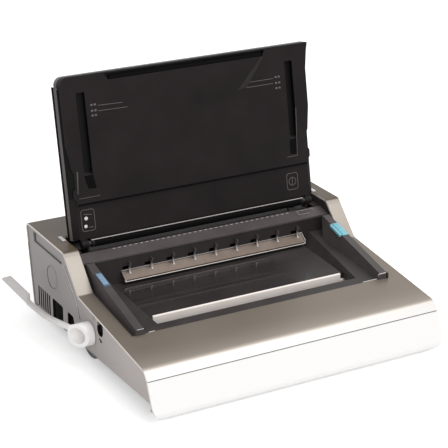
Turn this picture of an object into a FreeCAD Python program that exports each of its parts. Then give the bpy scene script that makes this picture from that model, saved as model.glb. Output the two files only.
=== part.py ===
"""Electric desk machine that punches a row of square holes in sheets and closes a double-loop wire.

Millimetres, +Z up, the front faces -Y. The origin lies on the table, under the middle of the whole
machine's box. Everything is drawn in the case's own frame, whose X = 0 is the case's middle plane, and
each finished sub-part is shifted once by keep().
"""
import FreeCAD, Part
import Sketcher
import math
import os
import re

Vector = FreeCAD.Vector
Rotation = FreeCAD.Rotation
Placement = FreeCAD.Placement

doc = FreeCAD.newDocument("wire_binding_machine")
sheet = doc.addObject("Spreadsheet::Sheet", "size")

# Driving dimensions: (name, value) in millimetres or degrees.
DRIVING = [
    # case: outline seen from the side, as corner points of its outer skin
    ("cowl_wall", 3), ("seam", 0.3), ("side_wall", 4), ("side_inset", 1),
    ("foot_y", -200), ("foot_z", 2), ("foot_radius", 9), ("foot_lip", 34), ("corner_radius", 20),
    ("part_y", -178.5), ("part_z", 52.7), ("bend_y", -168.8), ("bend_z", 64.9), ("bend_radius", 17),
    ("low_y", 28.5), ("low_z", 87.2), ("kink_radius", 5), ("high_y", 74.2), ("high_z", 133.7),
    ("crest_radius", 9), ("rear_y", 208), ("rear_foot_y", 188), ("rear_foot_z", 12), ("split_z", 104),
    ("skirt_front_z", 25.4), ("skirt_rear_z", 11),
    # recess in the cowl that holds the working deck
    ("cheek_wide", 22), ("recess_front_y", -91), ("recess_rear_y", 127),
    ("ledge_wide", 45.5), ("slot_front_y", -76), ("deck_front_z", 71.6), ("deck_rear_z", 76.1),
    ("deck_gap", 0.7), ("sheet_metal", 3), ("ledge_foot_z", 73.5), ("ledge_draft", 0.75), ("ledge_skirt_z", 64),
    # base
    ("pan_gap", 19.5), ("pan_z", 5.3), ("pan_front_y", -176), ("pan_rear_y", 178), ("flange_z", 26),
    ("sole_radius", 11), ("sole_inset", 28), ("sole_front_y", -150), ("sole_rear_y", 150),
    # chassis
    ("frame_gap", 24.5), ("frame_wall", 3), ("frame_front_y", -84), ("frame_rear_y", 172),
    ("frame_front_z", 66), ("frame_rear_z", 112), ("tie_radius", 4), ("tie_z", 26), ("screw_radius", 2),
    # throat
    ("lip_front_y", 67), ("lip_front_z", 115), ("lip_rear_y", 88.2), ("lip_rear_z", 120.3), ("wall_notch", 9),
    ("throat_gap", 2.2), ("throat_floor_z", 71), ("bar_low_z", 70), ("bar_high_z", 98), ("wall_z", 75),
    ("die_thick", 6), ("guide_thick", 7), ("pin_z", 84), ("pin_side", 4), ("pin_count", 34),
    ("pin_pitch", 8.4667), ("pin_play", 0.1), ("hook_count", 9), ("hook_shift", 9),
    # wire stand
    ("stand_inset", 15), ("stand_back_z", 92.3), ("stand_front_y", 55),
    ("stand_front_z", 83), ("stand_wall", 1.2), ("hook_wall", 1.4), ("hook_rise", 13),
    # arms beside the deck
    ("arm_gap", 4.5), ("arm_wide", 11), ("arm_draft", 0.33), ("arm_front_y", -93),
    ("arm_rear_y", 58), ("arm_rear_foot_y", 42), ("arm_front_z", 82.5), ("arm_slope", 0.231),
    ("tab_front_y", 4), ("tab_rear_y", 34), ("tab_proud", 1.5), ("tab_travel", 2.5), ("tab_depth", 5),
    # lid, in its own frame: s up the face, u behind the face
    ("lid_lean", 10.6), ("lid_ahead", 0.1), ("hinge_u", 2.547), ("hinge_s", 10.85),
    ("lid_gap", 6.5), ("lid_low", 16), ("lid_high", 242), ("lid_wall", 2.5), ("lid_back_low", 8),
    ("lid_back_third", 11), ("lid_back_mid", 15), ("lid_back_high", 19.5), ("lid_third", 106),
    ("lid_mid", 158), ("rim_low", 4.5), ("rim_high", 11.5), ("pin_radius", 2.5), ("lug_radius", 5.6), ("lug_wall", 7.5),
    ("slot_edge", 22), ("slot_wide", 13), ("slot_low", 104), ("slot_high", 219), ("slot_deep", 7),
    ("notch_left", -126), ("notch_right", 122), ("notch_low", 231), ("notch_deep", 6), ("block_high", 66),
    ("block_step", 3), ("running", 0.05),
    # wire closer and its lever
    ("lever_y", -7), ("lever_z", 48), ("shaft_radius", 6), ("lever_angle", 110), ("closer_travel", 14),
    ("closer_lift", 8), ("hub_radius", 16.4), ("hub_long", 25.5), ("mitre", 17), ("cup_radius", 11),
    ("boss_radius", 11), ("blade_gap", 14.5), ("blade_angle", 7.4), ("blade_start", 14),
    ("blade_length", 206), ("blade_thick", 6), ("blade_wide", 5.5), ("paddle_start", 136),
    ("paddle_wide", 14), ("paddle_tall", 14), ("paddle_thin", 3), ("jaw_inset", 6), ("jaw_y", -48.5), ("jaw_thick", 4), ("jaw_low", 55.3),
    ("jaw_high", 73), ("rail_high", 63.5), ("yoke_inset", 17), ("yoke_wide", 10), ("dial_radius", 33),
    ("dial_thick", 5.6), ("dial_teeth", 30),
    # punch drive
    ("punch_z", 60), ("beam_thick", 6), ("punch_angle", 150), ("punch_travel", 9), ("punch_lift", 14),
    ("cam_x", 66), ("cam_wide", 8), ("cam_gap", 0.3), ("yoke_wall", 4), ("rod_gap", 11.3), ("rod_inset", 10),
    ("rod_radius", 4), ("beam_inset", 13), ("beam_low", 76), ("beam_high", 92),
    ("gear_teeth", 48), ("pinion_teeth", 12), ("gear_module", 1.25), ("gear_wide", 6),
    ("mesh_angle", 36.87), ("motor_radius", 23), ("motor_long", 70), ("bush_wall", 3),
    ("bush_long", 8),
    # waste drawer
    ("drawer_front_y", 30), ("drawer_rear_y", 86), ("drawer_low", 18), ("drawer_high", 40),
    ("drawer_left", -140), ("drawer_wall", 2),
    # side panel features
    ("louvre_count", 6), ("louvre_pitch", 7.6), ("louvre_wide", 4.4), ("louvre_y", 130),
    ("grip_front_y", 38), ("grip_post_y", 69), ("grip_mid_y", 85), ("grip_rear_y", 121), ("grip_low", 15),
    ("grip_high", 48.5), ("cup_wall", 2), ("lobe_radius", 35), ("ring_y", 120), ("ring_z", 80), ("ring_radius", 18),
    # back wall, control board and screws
    ("inlet_inset", 88.5), ("switch_inset", 53.5), ("inlet_z", 48), ("vent_inset", 70.5), ("vent_count", 12),
    ("vent_pitch", 9), ("vent_wide", 4), ("vent_low", 60), ("vent_high", 92), ("guide_inset", 18),
    ("guide_wide", 12), ("board_inset", 24), ("board_wide", 90), ("board_y", 120), ("board_deep", 50),
    ("board_z", 18), ("board_wall", 1.6), ("block_gap", 14), ("block_wide", 26), ("block_deep", 22),
    ("block_tall", 22.4), ("relay_gap", 52), ("relay_wide", 18), ("relay_deep", 12), ("relay_tall", 14.4),
    ("part_gap", 4), ("post_inset", 5), ("post_radius", 3), ("screw_inset", 30.5), ("screw_mid", 60),
    ("screw_drop", 8), ("screw_head", 1.6),
]
DRIVING_NAMES = {name for name, _ in DRIVING}
for row, (name, number) in enumerate(DRIVING, start=1):
    sheet.set("A%d" % row, name)
    sheet.set("B%d" % row, str(number))
    sheet.setAlias("B%d" % row, name)
doc.recompute()

# Lengths worked out from the driving ones, written as formulas.
DERIVED = {
    "row_half": "(pin_count - 1) * pin_pitch / 2",
    "rod_x": "row_half + rod_gap",
    "beam_half": "rod_x + rod_inset",
    "frame_x": "beam_half + beam_inset",
    "recess_half": "frame_x + frame_gap",
    "half": "recess_half + cheek_wide",
    "opening_half": "recess_half - ledge_wide",
    "arm_outer": "recess_half - arm_gap",
    "arm_inner": "arm_outer - arm_wide",
    "lid_half": "recess_half - lid_gap",
    "slot_outer": "lid_half - slot_edge",
    "slot_inner": "slot_outer - slot_wide",
    "pan_half": "panel_inner - pan_gap",
    "sole_x": "pan_half - sole_inset",
    "yoke_x": "frame_x - yoke_inset",
    "jaw_half": "opening_half - jaw_inset",
    "stand_left": "-(opening_half - stand_inset)",
    "board_left": "frame_x - board_inset - board_wide",
    "board_top": "board_z + board_wall",
    "blade_x": "half + blade_gap",
    "hub_reach": "half + hub_long",
    "hub_short": "hub_reach - mitre",
    "deck_rear_y": "lip_front_y + deck_gap",
    "lid_y": "throat_y + lid_ahead",
    "deck_slope": "(low_z - bend_z) / (low_y - bend_y)",
    "ramp_slope": "(high_z - low_z) / (high_y - low_y)",
    "rear_slope": "(rear_y - rear_foot_y) / (high_z - rear_foot_z)",
    "rear_lean": "atan(rear_slope)",
    "skirt_slope": "(skirt_rear_z - skirt_front_z) / (rear_y - foot_y)",
    "panel_outer": "half - side_inset",
    "panel_inner": "panel_outer - side_wall",
    "pan_top": "pan_z + sheet_metal",
    "frame_outer": "frame_x + frame_wall",
    "throat_y": "lip_rear_y + throat_gap",
    "wall_y": "lip_front_y + 1",
    "hinge_y": "lid_y + hinge_s * sin(lid_lean) + hinge_u * cos(lid_lean)",
    "hinge_z": "lip_rear_z + hinge_s * cos(lid_lean) - hinge_u * sin(lid_lean)",
    "ledge": "sheet_metal + seam",
    "pin_first": "-row_half",
    "guide_rear_y": "throat_y + guide_thick",
    "beam_y": "guide_rear_y + punch_travel + 0.4",
    "punch_y": "beam_y + beam_thick + yoke_wall + punch_lift + cam_gap",
    "gear_radius": "gear_teeth * gear_module / 2",
    "pinion_radius": "pinion_teeth * gear_module / 2",
    "motor_y": "punch_y + (gear_radius + pinion_radius) * cos(mesh_angle)",
    "motor_z": "punch_z + (gear_radius + pinion_radius) * sin(mesh_angle)",
    "jaw_rear": "jaw_y + jaw_thick",
    "deck_front_y": "jaw_rear + 1",
    "lever_reach": "blade_x + sin(blade_angle) * blade_length + cos(blade_angle) * blade_wide / 2",
    "foot_lean": "atan((part_y - foot_y) / (part_z - foot_z))",
    "front_most": "foot_y + foot_radius * (tan(foot_lean) + 1 / cos(foot_lean) - 1)",
    "shift_x": "(lever_reach - half) / 2",
    "shift_y": "-(front_most + rear_y - 1) / 2",
}


def formula(text):
    """Write a formula of plain names as an expression on the sheet's cells."""
    def word(match):
        found = match.group(0)
        if found in DRIVING_NAMES:
            return "size." + found
        if found in DERIVED:
            return "(" + formula(DERIVED[found]) + ")"
        return found
    return re.sub(r"[a-z_]+", word, str(text))


def value(text):
    """The number that a formula stands for."""
    answer = sheet.evalExpression(formula(text))
    return float(getattr(answer, "Value", answer))


def bind(thing, **formulas):
    """Tie properties to formulas; a double underscore stands for a dot in the property's path."""
    for path, text in formulas.items():
        thing.setExpression(path.replace("__", "."), formula(text))
    return thing


# ---------------------------------------------------------------- building blocks
def box(name, xs, ys, zs):
    """A block between pairs of planes."""
    block = doc.addObject("Part::Box", name)
    return bind(block, Length="(%s) - (%s)" % (xs[1], xs[0]), Width="(%s) - (%s)" % (ys[1], ys[0]),
                Height="(%s) - (%s)" % (zs[1], zs[0]),
                Placement__Base__x=xs[0], Placement__Base__y=ys[0], Placement__Base__z=zs[0])


TURNS = {"x": Rotation(Vector(0, 1, 0), 90), "y": Rotation(Vector(1, 0, 0), -90), "z": Rotation()}


def rod(name, radius, start, length, along="x"):
    """A round bar from a start point (x, y, z) along one axis."""
    bar = doc.addObject("Part::Cylinder", name)
    bar.Placement = Placement(Vector(), TURNS[along])
    return bind(bar, Radius=radius, Height=length, Placement__Base__x=start[0],
                Placement__Base__y=start[1], Placement__Base__z=start[2])


def draw(sketch, corners, closed=True):
    """Draw a line of corners (a, b) or (a, b, radius), each tied to its formulas."""
    points = [Vector(value(c[0]), value(c[1]), 0) for c in corners]
    count = len(points)
    starts, ends, arcs = list(points), list(points), {}
    for i, corner in enumerate(corners):
        if len(corner) < 3:
            continue
        back = (points[i - 1] - points[i]).normalize()
        ahead = (points[(i + 1) % count] - points[i]).normalize()
        half_angle = back.getAngle(ahead) / 2
        radius = value(corner[2])
        leg = radius / math.tan(half_angle)
        ends[i] = points[i] + back * leg
        starts[i] = points[i] + ahead * leg
        bisector = (back + ahead).normalize()
        middle = points[i] + bisector * (radius / math.sin(half_angle) - radius)
        arcs[i] = (Part.Arc(ends[i], middle, starts[i]), back.cross(ahead).z < 0)
    lines = []
    for i in range(count if closed else count - 1):
        lines.append(sketch.addGeometry(Part.LineSegment(starts[i], ends[(i + 1) % count]), False))
    tie = sketch.addConstraint
    for i, corner in enumerate(corners):
        before = lines[i - 1] if (i > 0 or closed) else None
        after = lines[i] if i < len(lines) else None
        if i in arcs:
            arc, turns_left = arcs[i]
            curve = sketch.addGeometry(arc, False)
            first, last = (1, 2) if turns_left else (2, 1)
            spot = sketch.addGeometry(Part.Point(points[i]), True)
            tie(Sketcher.Constraint("Tangent", before, 2, curve, first))
            tie(Sketcher.Constraint("Tangent", curve, last, after, 1))
            tie(Sketcher.Constraint("PointOnObject", spot, 1, before))
            tie(Sketcher.Constraint("PointOnObject", spot, 1, after))
            bent = tie(Sketcher.Constraint("Radius", curve, value(corner[2])))
            sketch.setExpression("Constraints[%d]" % bent, formula(corner[2]))
            place = (spot, 1)
        elif after is None:
            place = (before, 2)
        else:
            if before is not None:
                tie(Sketcher.Constraint("Coincident", before, 2, after, 1))
            place = (after, 1)
        for kind, text, number in (("DistanceX", corner[0], points[i].x),
                                   ("DistanceY", corner[1], points[i].y)):
            held = tie(Sketcher.Constraint(kind, -1, 1, place[0], place[1], number))
            sketch.setExpression("Constraints[%d]" % held, formula(text))
    return sketch


PLANES = {
    "x": Rotation(Vector(0, 1, 0), Vector(0, 0, 1), Vector(1, 0, 0)),
    "y": Rotation(Vector(1, 0, 0), Vector(0, 0, 1), Vector(0, -1, 0)),
    "z": Rotation(),
}
NORMALS = {"x": Vector(1, 0, 0), "y": Vector(0, 1, 0), "z": Vector(0, 0, 1)}


def outline(name, corners, closed=True, normal="x", at="0"):
    """A free sketch on the plane across one axis, at a place along it."""
    sketch = doc.addObject("Sketcher::SketchObject", name)
    sketch.Placement = Placement(Vector(), PLANES[normal])
    sketch.setExpression("Placement.Base." + normal, formula(at))
    return draw(sketch, corners, closed)


def extrude(name, base, normal, length):
    push = doc.addObject("Part::Extrusion", name)
    push.Base = base
    push.DirMode = "Custom"
    push.Dir = NORMALS[normal]
    push.Solid = True
    return bind(push, LengthFwd=length)


def prism(name, corners, low, high, normal="x"):
    """A closed outline pushed from one plane to another."""
    face = outline(name + "_outline", corners, True, normal, low)
    return extrude(name, face, normal, "(%s) - (%s)" % (high, low))


def band(name, corners, wall, low, high, normal="x"):
    """A bent sheet: an open line of corners given a wall on one side and pushed sideways."""
    line = outline(name + "_line", corners, False, normal, low)
    skin = doc.addObject("Part::Offset2D", name + "_skin")
    skin.Source = line
    skin.Mode = "Skin"
    skin.Join = "Intersection"
    skin.Fill = True
    skin.Intersection = False
    bind(skin, Value=wall)
    return extrude(name, skin, normal, "(%s) - (%s)" % (high, low))


def fuse(name, parts):
    whole = doc.addObject("Part::MultiFuse", name)
    whole.Shapes = parts
    return whole


def group(name, parts):
    whole = doc.addObject("Part::Compound", name)
    whole.Links = parts
    return whole


def cut(name, base, tools):
    """Take tools away; tools may overlap one another."""
    rest = doc.addObject("Part::Cut", name)
    rest.Base = base
    rest.Tool = tools[0] if len(tools) == 1 else fuse(name + "_tools", tools)
    return rest


def common(name, parts):
    shared = doc.addObject("Part::MultiCommon", name)
    shared.Shapes = parts
    return shared


def mirrored(name, source):
    other = doc.addObject("Part::Mirroring", name)
    other.Source = source
    other.Normal = Vector(1, 0, 0)
    return other


def span(side, near, far):
    """Planes between two distances from the middle, on the left (-1) or the right (+1)."""
    return (near, far) if side > 0 else ("-(%s)" % far, "-(%s)" % near)


SIDES = (("left", -1), ("right", 1))
nodes = []


def keep(thing, label):
    """Name a finished sub-part and shift it so that the origin is under the machine's middle."""
    if thing.TypeId in ("Part::Box", "Part::Cylinder"):
        thing = group(label + "_alone", [thing])
    thing.Label = label
    nodes.append(thing)
    return bind(thing, Placement__Base__x="shift_x", Placement__Base__y="shift_y")


# Heights along the case's straight lines, as formulas of y (or of z).
def deck(y):
    return "(bend_z + ((%s) - bend_y) * deck_slope)" % y


def ramp(z, inward="0"):
    return "(low_y + ((%s) - low_z) / ramp_slope + (%s))" % (z, inward)


def back(z):
    return "(rear_foot_y + ((%s) - rear_foot_z) * rear_slope)" % z


def skirt(y):
    return "(skirt_front_z + ((%s) - foot_y) * skirt_slope)" % y


def arm_top(y):
    return "(arm_front_z + ((%s) - arm_front_y) * arm_slope)" % y


# ---------------------------------------------------------------- case
FRONT_LINE = [("part_y", "part_z"), ("bend_y", "bend_z", "bend_radius"), ("low_y", "low_z", "kink_radius"),
              ("high_y", "high_z", "crest_radius"), ("rear_y", "high_z", "crest_radius")]


def top_cowl():
    """Bent cover over the deck, ramp and back, with the recess for the working deck."""
    skin = band("cowl_skin", FRONT_LINE + [(back("split_z"), "split_z")], "cowl_wall", "-half", "half")
    recess = box("recess", ("-recess_half", "recess_half"), ("recess_front_y", "recess_rear_y"),
                 ("part_z", "high_z + 10"))
    parting = box("parting", ("-half - 1", "half + 1"), ("part_y - 5", "part_y + 15"), ("part_z - 15", "part_z"))
    relief = rod("dial_relief", "dial_radius + 0.5", ("-panel_inner", "lever_y", "lever_z"), "dial_thick + 1")
    keep(cut("cowl", skin, [recess, parting, relief]), "top_cowl")


def front_fascia():
    """Front panel with a rolled foot and rounded lower corners."""
    top_y = "part_y + (foot_y - part_y) * seam / (part_z - foot_z)"
    skin = band("fascia_skin", [("foot_y + foot_lip", "foot_z"), ("foot_y", "foot_z", "foot_radius"),
                                (top_y, "part_z - seam")], "cowl_wall", "-half", "half")
    front = prism("fascia_front", [("-half", "foot_z", "corner_radius"), ("half", "foot_z", "corner_radius"),
                                   ("half", "part_z + 10"), ("-half", "part_z + 10")],
                  "foot_y - 10", "foot_y + foot_lip + 10", "y")
    keep(common("fascia", [skin, front]), "front_fascia")


def side_blank(side):
    """End panel inside the cowl's edge, cut off along the skirt line."""
    low, high = span(side, "panel_inner", "panel_outer")
    loop = outline("panel_outline", FRONT_LINE + [("rear_foot_y", "rear_foot_z", "6"), ("pan_rear_y", "rear_foot_z"),
                                                  ("pan_rear_y", "-20"), ("foot_y", "-20"), ("foot_y", "foot_z")],
                   True, "x", low)
    inset = doc.addObject("Part::Offset2D", "panel_inset")
    inset.Source = loop
    inset.Join = "Intersection"
    bind(inset, Value="-(cowl_wall + seam)")
    blank = extrude("panel_blank", inset, "x", "(%s) - (%s)" % (high, low))
    below = prism("panel_below", [("foot_y - 10", "-20"), ("rear_y + 10", "-20"),
                                  ("rear_y + 10", skirt("rear_y + 10")), ("foot_y - 10", skirt("foot_y - 10"))],
                  low + " - 1", high + " + 1")
    return cut("panel_trimmed", blank, [below])


def window(name, side, corners, deep=None):
    """A cut through an end panel, or to a depth from its outer face."""
    near = "panel_inner - 1" if deep is None else "panel_outer - (%s)" % deep
    low, high = span(side, near, "panel_outer + 1")
    return prism(name, corners, low, high)


def panel_details(side):
    """Cuts that both end panels share: long groove, trim line and louvres."""
    cuts = [window("groove", side, [("80", "112", "3"), ("181", "112", "3"), ("183", "127", "3"),
                                    ("92", "127", "3")], "2.2")]
    low, high = span(side, "panel_outer - 0.8", "panel_outer + 1")
    cuts.append(band("trim_line", [("76", "113"), ("39", "79"), ("28", "52")], "2", low, high))
    for i in range(int(value("louvre_count"))):
        front = "louvre_y + %d * louvre_pitch" % i
        cuts.append(window("louvre", side, [(front, "17"), (front + " + louvre_wide", "17"),
                                            (front + " + louvre_wide", "48"), (front, "48")]))
    return cuts


def ring(side):
    low, high = span(side, "panel_outer", "panel_outer + 0.5")
    disc = rod("ring_disc", "ring_radius", (low, "ring_y", "ring_z"), "0.5")
    hole = rod("ring_hole", "ring_radius - 1.6", (low + " - 1", "ring_y", "ring_z"), "3")
    return cut("ring", disc, [hole])


def left_side_panel():
    cuts = panel_details(-1)
    cuts.append(rod("hub_hole", "boss_radius + 0.6", ("-panel_outer - 1", "lever_y", "lever_z"),
                    "side_wall + 2"))
    cuts.append(window("size_window", -1, [("-47", "56", "8.5"), ("-29", "56", "8.5"), ("-29", "78", "8.5"),
                                           ("-47", "78", "8.5")]))
    cuts.append(window("slit", -1, [("-12", "80"), ("-20", "71.5"), ("-21.5", "73"), ("-13.5", "81.5")]))
    cuts.append(window("pointer", -1, [("-33", "52"), ("-39.5", "46.5"), ("-46", "52")], "1.5"))
    cuts.append(window("rear_grip", -1, [("grip_mid_y", "grip_low"), ("grip_rear_y", "grip_low"),
                                         ("grip_rear_y", "grip_high", "3"), ("grip_mid_y", "grip_high", "3")]))
    cuts.append(window("front_grip", -1, [("grip_front_y", "grip_low + 3"), ("grip_post_y", "grip_low + 3"),
                                          ("grip_post_y", "grip_high", "3"),
                                          ("grip_front_y + 12", "grip_high", "3")]))
    lobe = rod("panel_lobe", "lobe_radius", ("-panel_outer", "lever_y", "lever_z"), "side_wall")
    under = box("lobe_zone", ("-half", "-panel_inner + 1"), ("lever_y - lobe_radius - 1", "lever_y + lobe_radius + 1"),
                ("0", "flange_z"))
    whole = fuse("left_panel_whole", [side_blank(-1), ring(-1), common("lobe", [lobe, under])])
    keep(cut("left_panel", whole, cuts), "left_side_panel")


def right_side_panel():
    cuts = panel_details(1)
    cuts.append(window("drawer_door", 1, [("drawer_front_y - 2", "5"), ("drawer_rear_y + 2", "5"),
                                          ("drawer_rear_y + 2", "drawer_high + 2.5"),
                                          ("drawer_front_y - 2", "drawer_high + 2.5")]))
    whole = fuse("right_panel_whole", [side_blank(1), ring(1)])
    keep(cut("right_panel", whole, cuts), "right_side_panel")


def rear_cover():
    """Back wall with vents, a socket hole and a switch hole."""
    skin = band("rear_skin", [(back("split_z - seam"), "split_z - seam"), ("rear_foot_y", "rear_foot_z", "6"),
                              ("pan_rear_y + seam", "rear_foot_z")], "cowl_wall", "-half", "half")
    through, tall = ("pan_rear_y - 28", "rear_y + 22"), ("inlet_z - 10", "inlet_z + 10")
    cuts = [box("socket_hole", ("half - inlet_inset - 14", "half - inlet_inset + 14"), through, tall),
            box("switch_hole", ("half - switch_inset - 7", "half - switch_inset + 7"), through, tall)]
    for i in range(int(value("vent_count"))):
        low = "-(half - vent_inset) + %d * vent_pitch" % i
        cuts.append(box("vent", (low, low + " + vent_wide"), through, ("vent_low", "vent_high")))
    keep(cut("rear", skin, cuts), "rear_cover")


def on_back_wall(thing, x, z, out="0"):
    """Stand a piece drawn around its own origin on the leaning back wall's outer face."""
    thing.Placement = Placement(Vector(), Rotation(Vector(1, 0, 0), -1))
    return bind(thing, Placement__Rotation__Angle="-rear_lean", Placement__Base__x=x,
                Placement__Base__y="%s + (%s) * cos(rear_lean)" % (back(z), out),
                Placement__Base__z="(%s) - (%s) * sin(rear_lean)" % (z, out))


def mains():
    """Socket for the mains lead and the bezel of the power switch."""
    shell = box("socket_shell", ("-13.7", "13.7"), ("-22", "0"), ("-9.5", "9.5"))
    rim = box("socket_rim", ("-17", "17"), ("0", "2"), ("-12.5", "12.5"))
    hollow = box("socket_hollow", ("-11.5", "11.5"), ("-18", "3"), ("-7.5", "7.5"))
    blades = [box("socket_blade", (x, x + " + 2"), ("-18", "-4"), (z, z + " + 4"))
              for x, z in (("-8", "-3.5"), ("6", "-3.5"), ("-1", "0.5"))]
    body = cut("socket_body", fuse("socket_blank", [shell, rim]), [hollow])
    socket = on_back_wall(fuse("socket", [body] + blades), "half - inlet_inset", "inlet_z")
    keep(group("socket_kept", [socket]), "mains_inlet")
    case = box("switch_case", ("-6.7", "6.7"), ("-16", "0"), ("-9.5", "9.5"))
    bezel = box("switch_bezel", ("-9", "9"), ("0", "1.5"), ("-12", "12"))
    well = box("switch_well", ("-5", "5"), ("-9", "3"), ("-8", "8"))
    frame = cut("switch_frame", fuse("switch_blank", [case, bezel]), [well])
    keep(group("switch_kept", [on_back_wall(frame, "half - switch_inset", "inlet_z")]), "power_switch")
    key = prism("rocker_key", [("-3", "-7.4"), ("1.2", "-7.4"), ("0.2", "0"), ("3.2", "6.6"),
                               ("-3", "6.6"), ("-5", "0")], "-4.2", "4.2")
    pivot = rod("rocker_pivot", "1.5", ("-4.9", "-3", "0"), "9.8")
    rocker = on_back_wall(fuse("rocker", [key, pivot]), "half - switch_inset", "inlet_z")
    keep(group("rocker_kept", [rocker]), "power_rocker")


def base_pan():
    """Tray that carries the chassis, with a flange out to the end panels."""
    floor = box("pan_floor", ("-pan_half", "pan_half"), ("pan_front_y", "pan_rear_y"), ("pan_z", "pan_top"))
    parts = [floor]
    for _, side in SIDES:
        wall = span(side, "pan_half - sheet_metal", "pan_half")
        parts.append(box("pan_side", wall, ("pan_front_y", "pan_rear_y"), ("pan_z", "flange_z + 3")))
        flange = span(side, "pan_half - sheet_metal", "panel_inner - seam")
        parts.append(box("pan_flange", flange, ("pan_front_y", "pan_rear_y"), ("flange_z", "flange_z + 3")))
    for low, high in (("pan_front_y", "pan_front_y + sheet_metal"), ("pan_rear_y - sheet_metal", "pan_rear_y")):
        parts.append(box("pan_end", ("-pan_half", "pan_half"), (low, high), ("pan_z", "flange_z + 3")))
    for y in ("drawer_front_y + 4", "drawer_rear_y - 8"):
        parts.append(box("drawer_rail", ("drawer_left", "pan_half"), (y, y + " + 4"),
                         ("pan_top - 1", "drawer_low - seam")))
    cuts = [box("dial_slot", span(-1, "panel_inner - dial_thick - 4", "half"),
                ("lever_y - dial_radius - 2", "lever_y + dial_radius + 2"), ("flange_z - 1", "flange_z + 4")),
            box("drawer_way", span(1, "pan_half - sheet_metal - 1", "half"),
                ("drawer_front_y - 1", "drawer_rear_y + 1"), ("drawer_low - 1", "flange_z + 4")),
            box("grip_way", span(-1, "pan_half + 0.5", "half"), ("grip_front_y - 3", "grip_rear_y + 3"),
                ("flange_z - 1", "flange_z + 4"))]
    keep(cut("pan", fuse("pan_whole", parts), cuts), "base_pan")


def rubber_feet():
    feet = []
    for _, side in SIDES:
        for y in ("sole_front_y", "sole_rear_y"):
            x = "sole_x" if side > 0 else "-sole_x"
            feet.append(rod("foot", "sole_radius", (x, y, "0"), "pan_z", "z"))
    keep(group("feet", feet), "rubber_feet")


def grip_cup():
    """Closed hand pocket behind the left panel's two grip openings."""
    low, high = "-(panel_inner - seam)", "-(pan_half + 1)"
    front, rear, foot, top = "grip_front_y - 0.5", "grip_rear_y + 0.5", "grip_low - 2", "grip_high + 1"
    outer = box("cup_outer", (low, high), (front + " - cup_wall", rear + " + cup_wall"),
                (foot + " - cup_wall", top + " + cup_wall"))
    inner = box("cup_inner", (low + " - 1", high + " - cup_wall"), (front, rear), (foot, top))
    rib = box("cup_rib", (low, high), ("grip_post_y + 6", "grip_mid_y - 6"), (foot + " - 1", top + " + 1"))
    keep(fuse("cup", [cut("cup_shell", outer, [inner]), rib]), "grip_cup")


# ---------------------------------------------------------------- working deck
def deck_surround():
    """Black frame of the recess: front lip, side ledges, flange under the cowl and cheek walls."""
    front, rear = "recess_front_y + seam", "wall_y - seam"
    upper = prism("ledge_upper", [(front, deck(front)), (rear, deck(rear)), (rear, deck(rear) + " - ledge"),
                                  (front, deck(front) + " - ledge")], "-(recess_half - seam)", "recess_half - seam")
    lap = "recess_front_y - 4"
    lower = prism("ledge_lower", [(lap, deck(lap) + " - ledge"), (rear, deck(rear) + " - ledge"),
                                  (rear, deck(rear) + " - 2 * ledge"), (lap, deck(lap) + " - 2 * ledge")],
                  "-(recess_half + 4)", "recess_half + 4")
    brim = "opening_half + (high_z - ledge_foot_z) * ledge_draft"
    wing = prism("down_wall", [("opening_half", "ledge_skirt_z"), ("opening_half", "ledge_foot_z"), (brim, "high_z"),
                               (brim + " + 3", "high_z"), ("opening_half + 2.5", "ledge_foot_z"),
                               ("opening_half + 2.5", "ledge_skirt_z")], "slot_front_y - 2", rear, "y")
    over = prism("over_ledge", [("slot_front_y - 5", deck("slot_front_y - 5") + " - 1"),
                                (rear + " + 5", deck(rear + " + 5") + " - 1"), (rear + " + 5", "high_z + 5"),
                                ("slot_front_y - 5", "high_z + 5")], "0", "half")
    right_wall = cut("down_wall_cut", wing, [over])
    parts = [upper, lower, right_wall, mirrored("down_wall_left", right_wall)]
    for _, side in SIDES:
        low, high = span(side, "recess_half", "recess_half + 2.5")
        inward = "cowl_wall / sin(atan(ramp_slope)) + 0.4"
        foot, top = "low_z - 5", "high_z - cowl_wall - seam"
        parts.append(prism("cheek_wall", [(ramp(foot, inward), foot), (ramp(top + " - 5", inward), top + " - 5"),
                                          (ramp(top, inward) + " + 5", top),
                                          ("recess_rear_y", top), ("recess_rear_y", foot)], low, high))
    hole = prism("deck_opening", [("-opening_half", "jaw_low"), ("opening_half", "jaw_low"),
                                  ("opening_half", "ledge_foot_z"), (brim, "high_z"), ("-(%s)" % brim, "high_z"),
                                  ("-opening_half", "ledge_foot_z")], "slot_front_y", "wall_y + 5", "y")
    keep(cut("surround", fuse("surround_whole", parts), [hole]), "deck_surround")


def inner_deck():
    front, rear = "deck_front_y", "deck_rear_y"
    keep(prism("inner", [(front, "deck_front_z"), (rear, "deck_rear_z"), (rear, "deck_rear_z - sheet_metal"),
                         (front, "deck_front_z - sheet_metal")], "-(opening_half - seam)", "opening_half - seam"),
         "inner_deck")


def arm_section(y):
    """Arm's cross-section at one place along it: upright outside, drafted inside."""
    top, foot = arm_top(y), deck(y)
    return outline("arm_section", [("arm_inner - arm_draft * (%s - %s)" % (top, foot), foot), ("arm_outer", foot),
                                   ("arm_outer", top), ("arm_inner", top)], True, "y", y)


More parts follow.
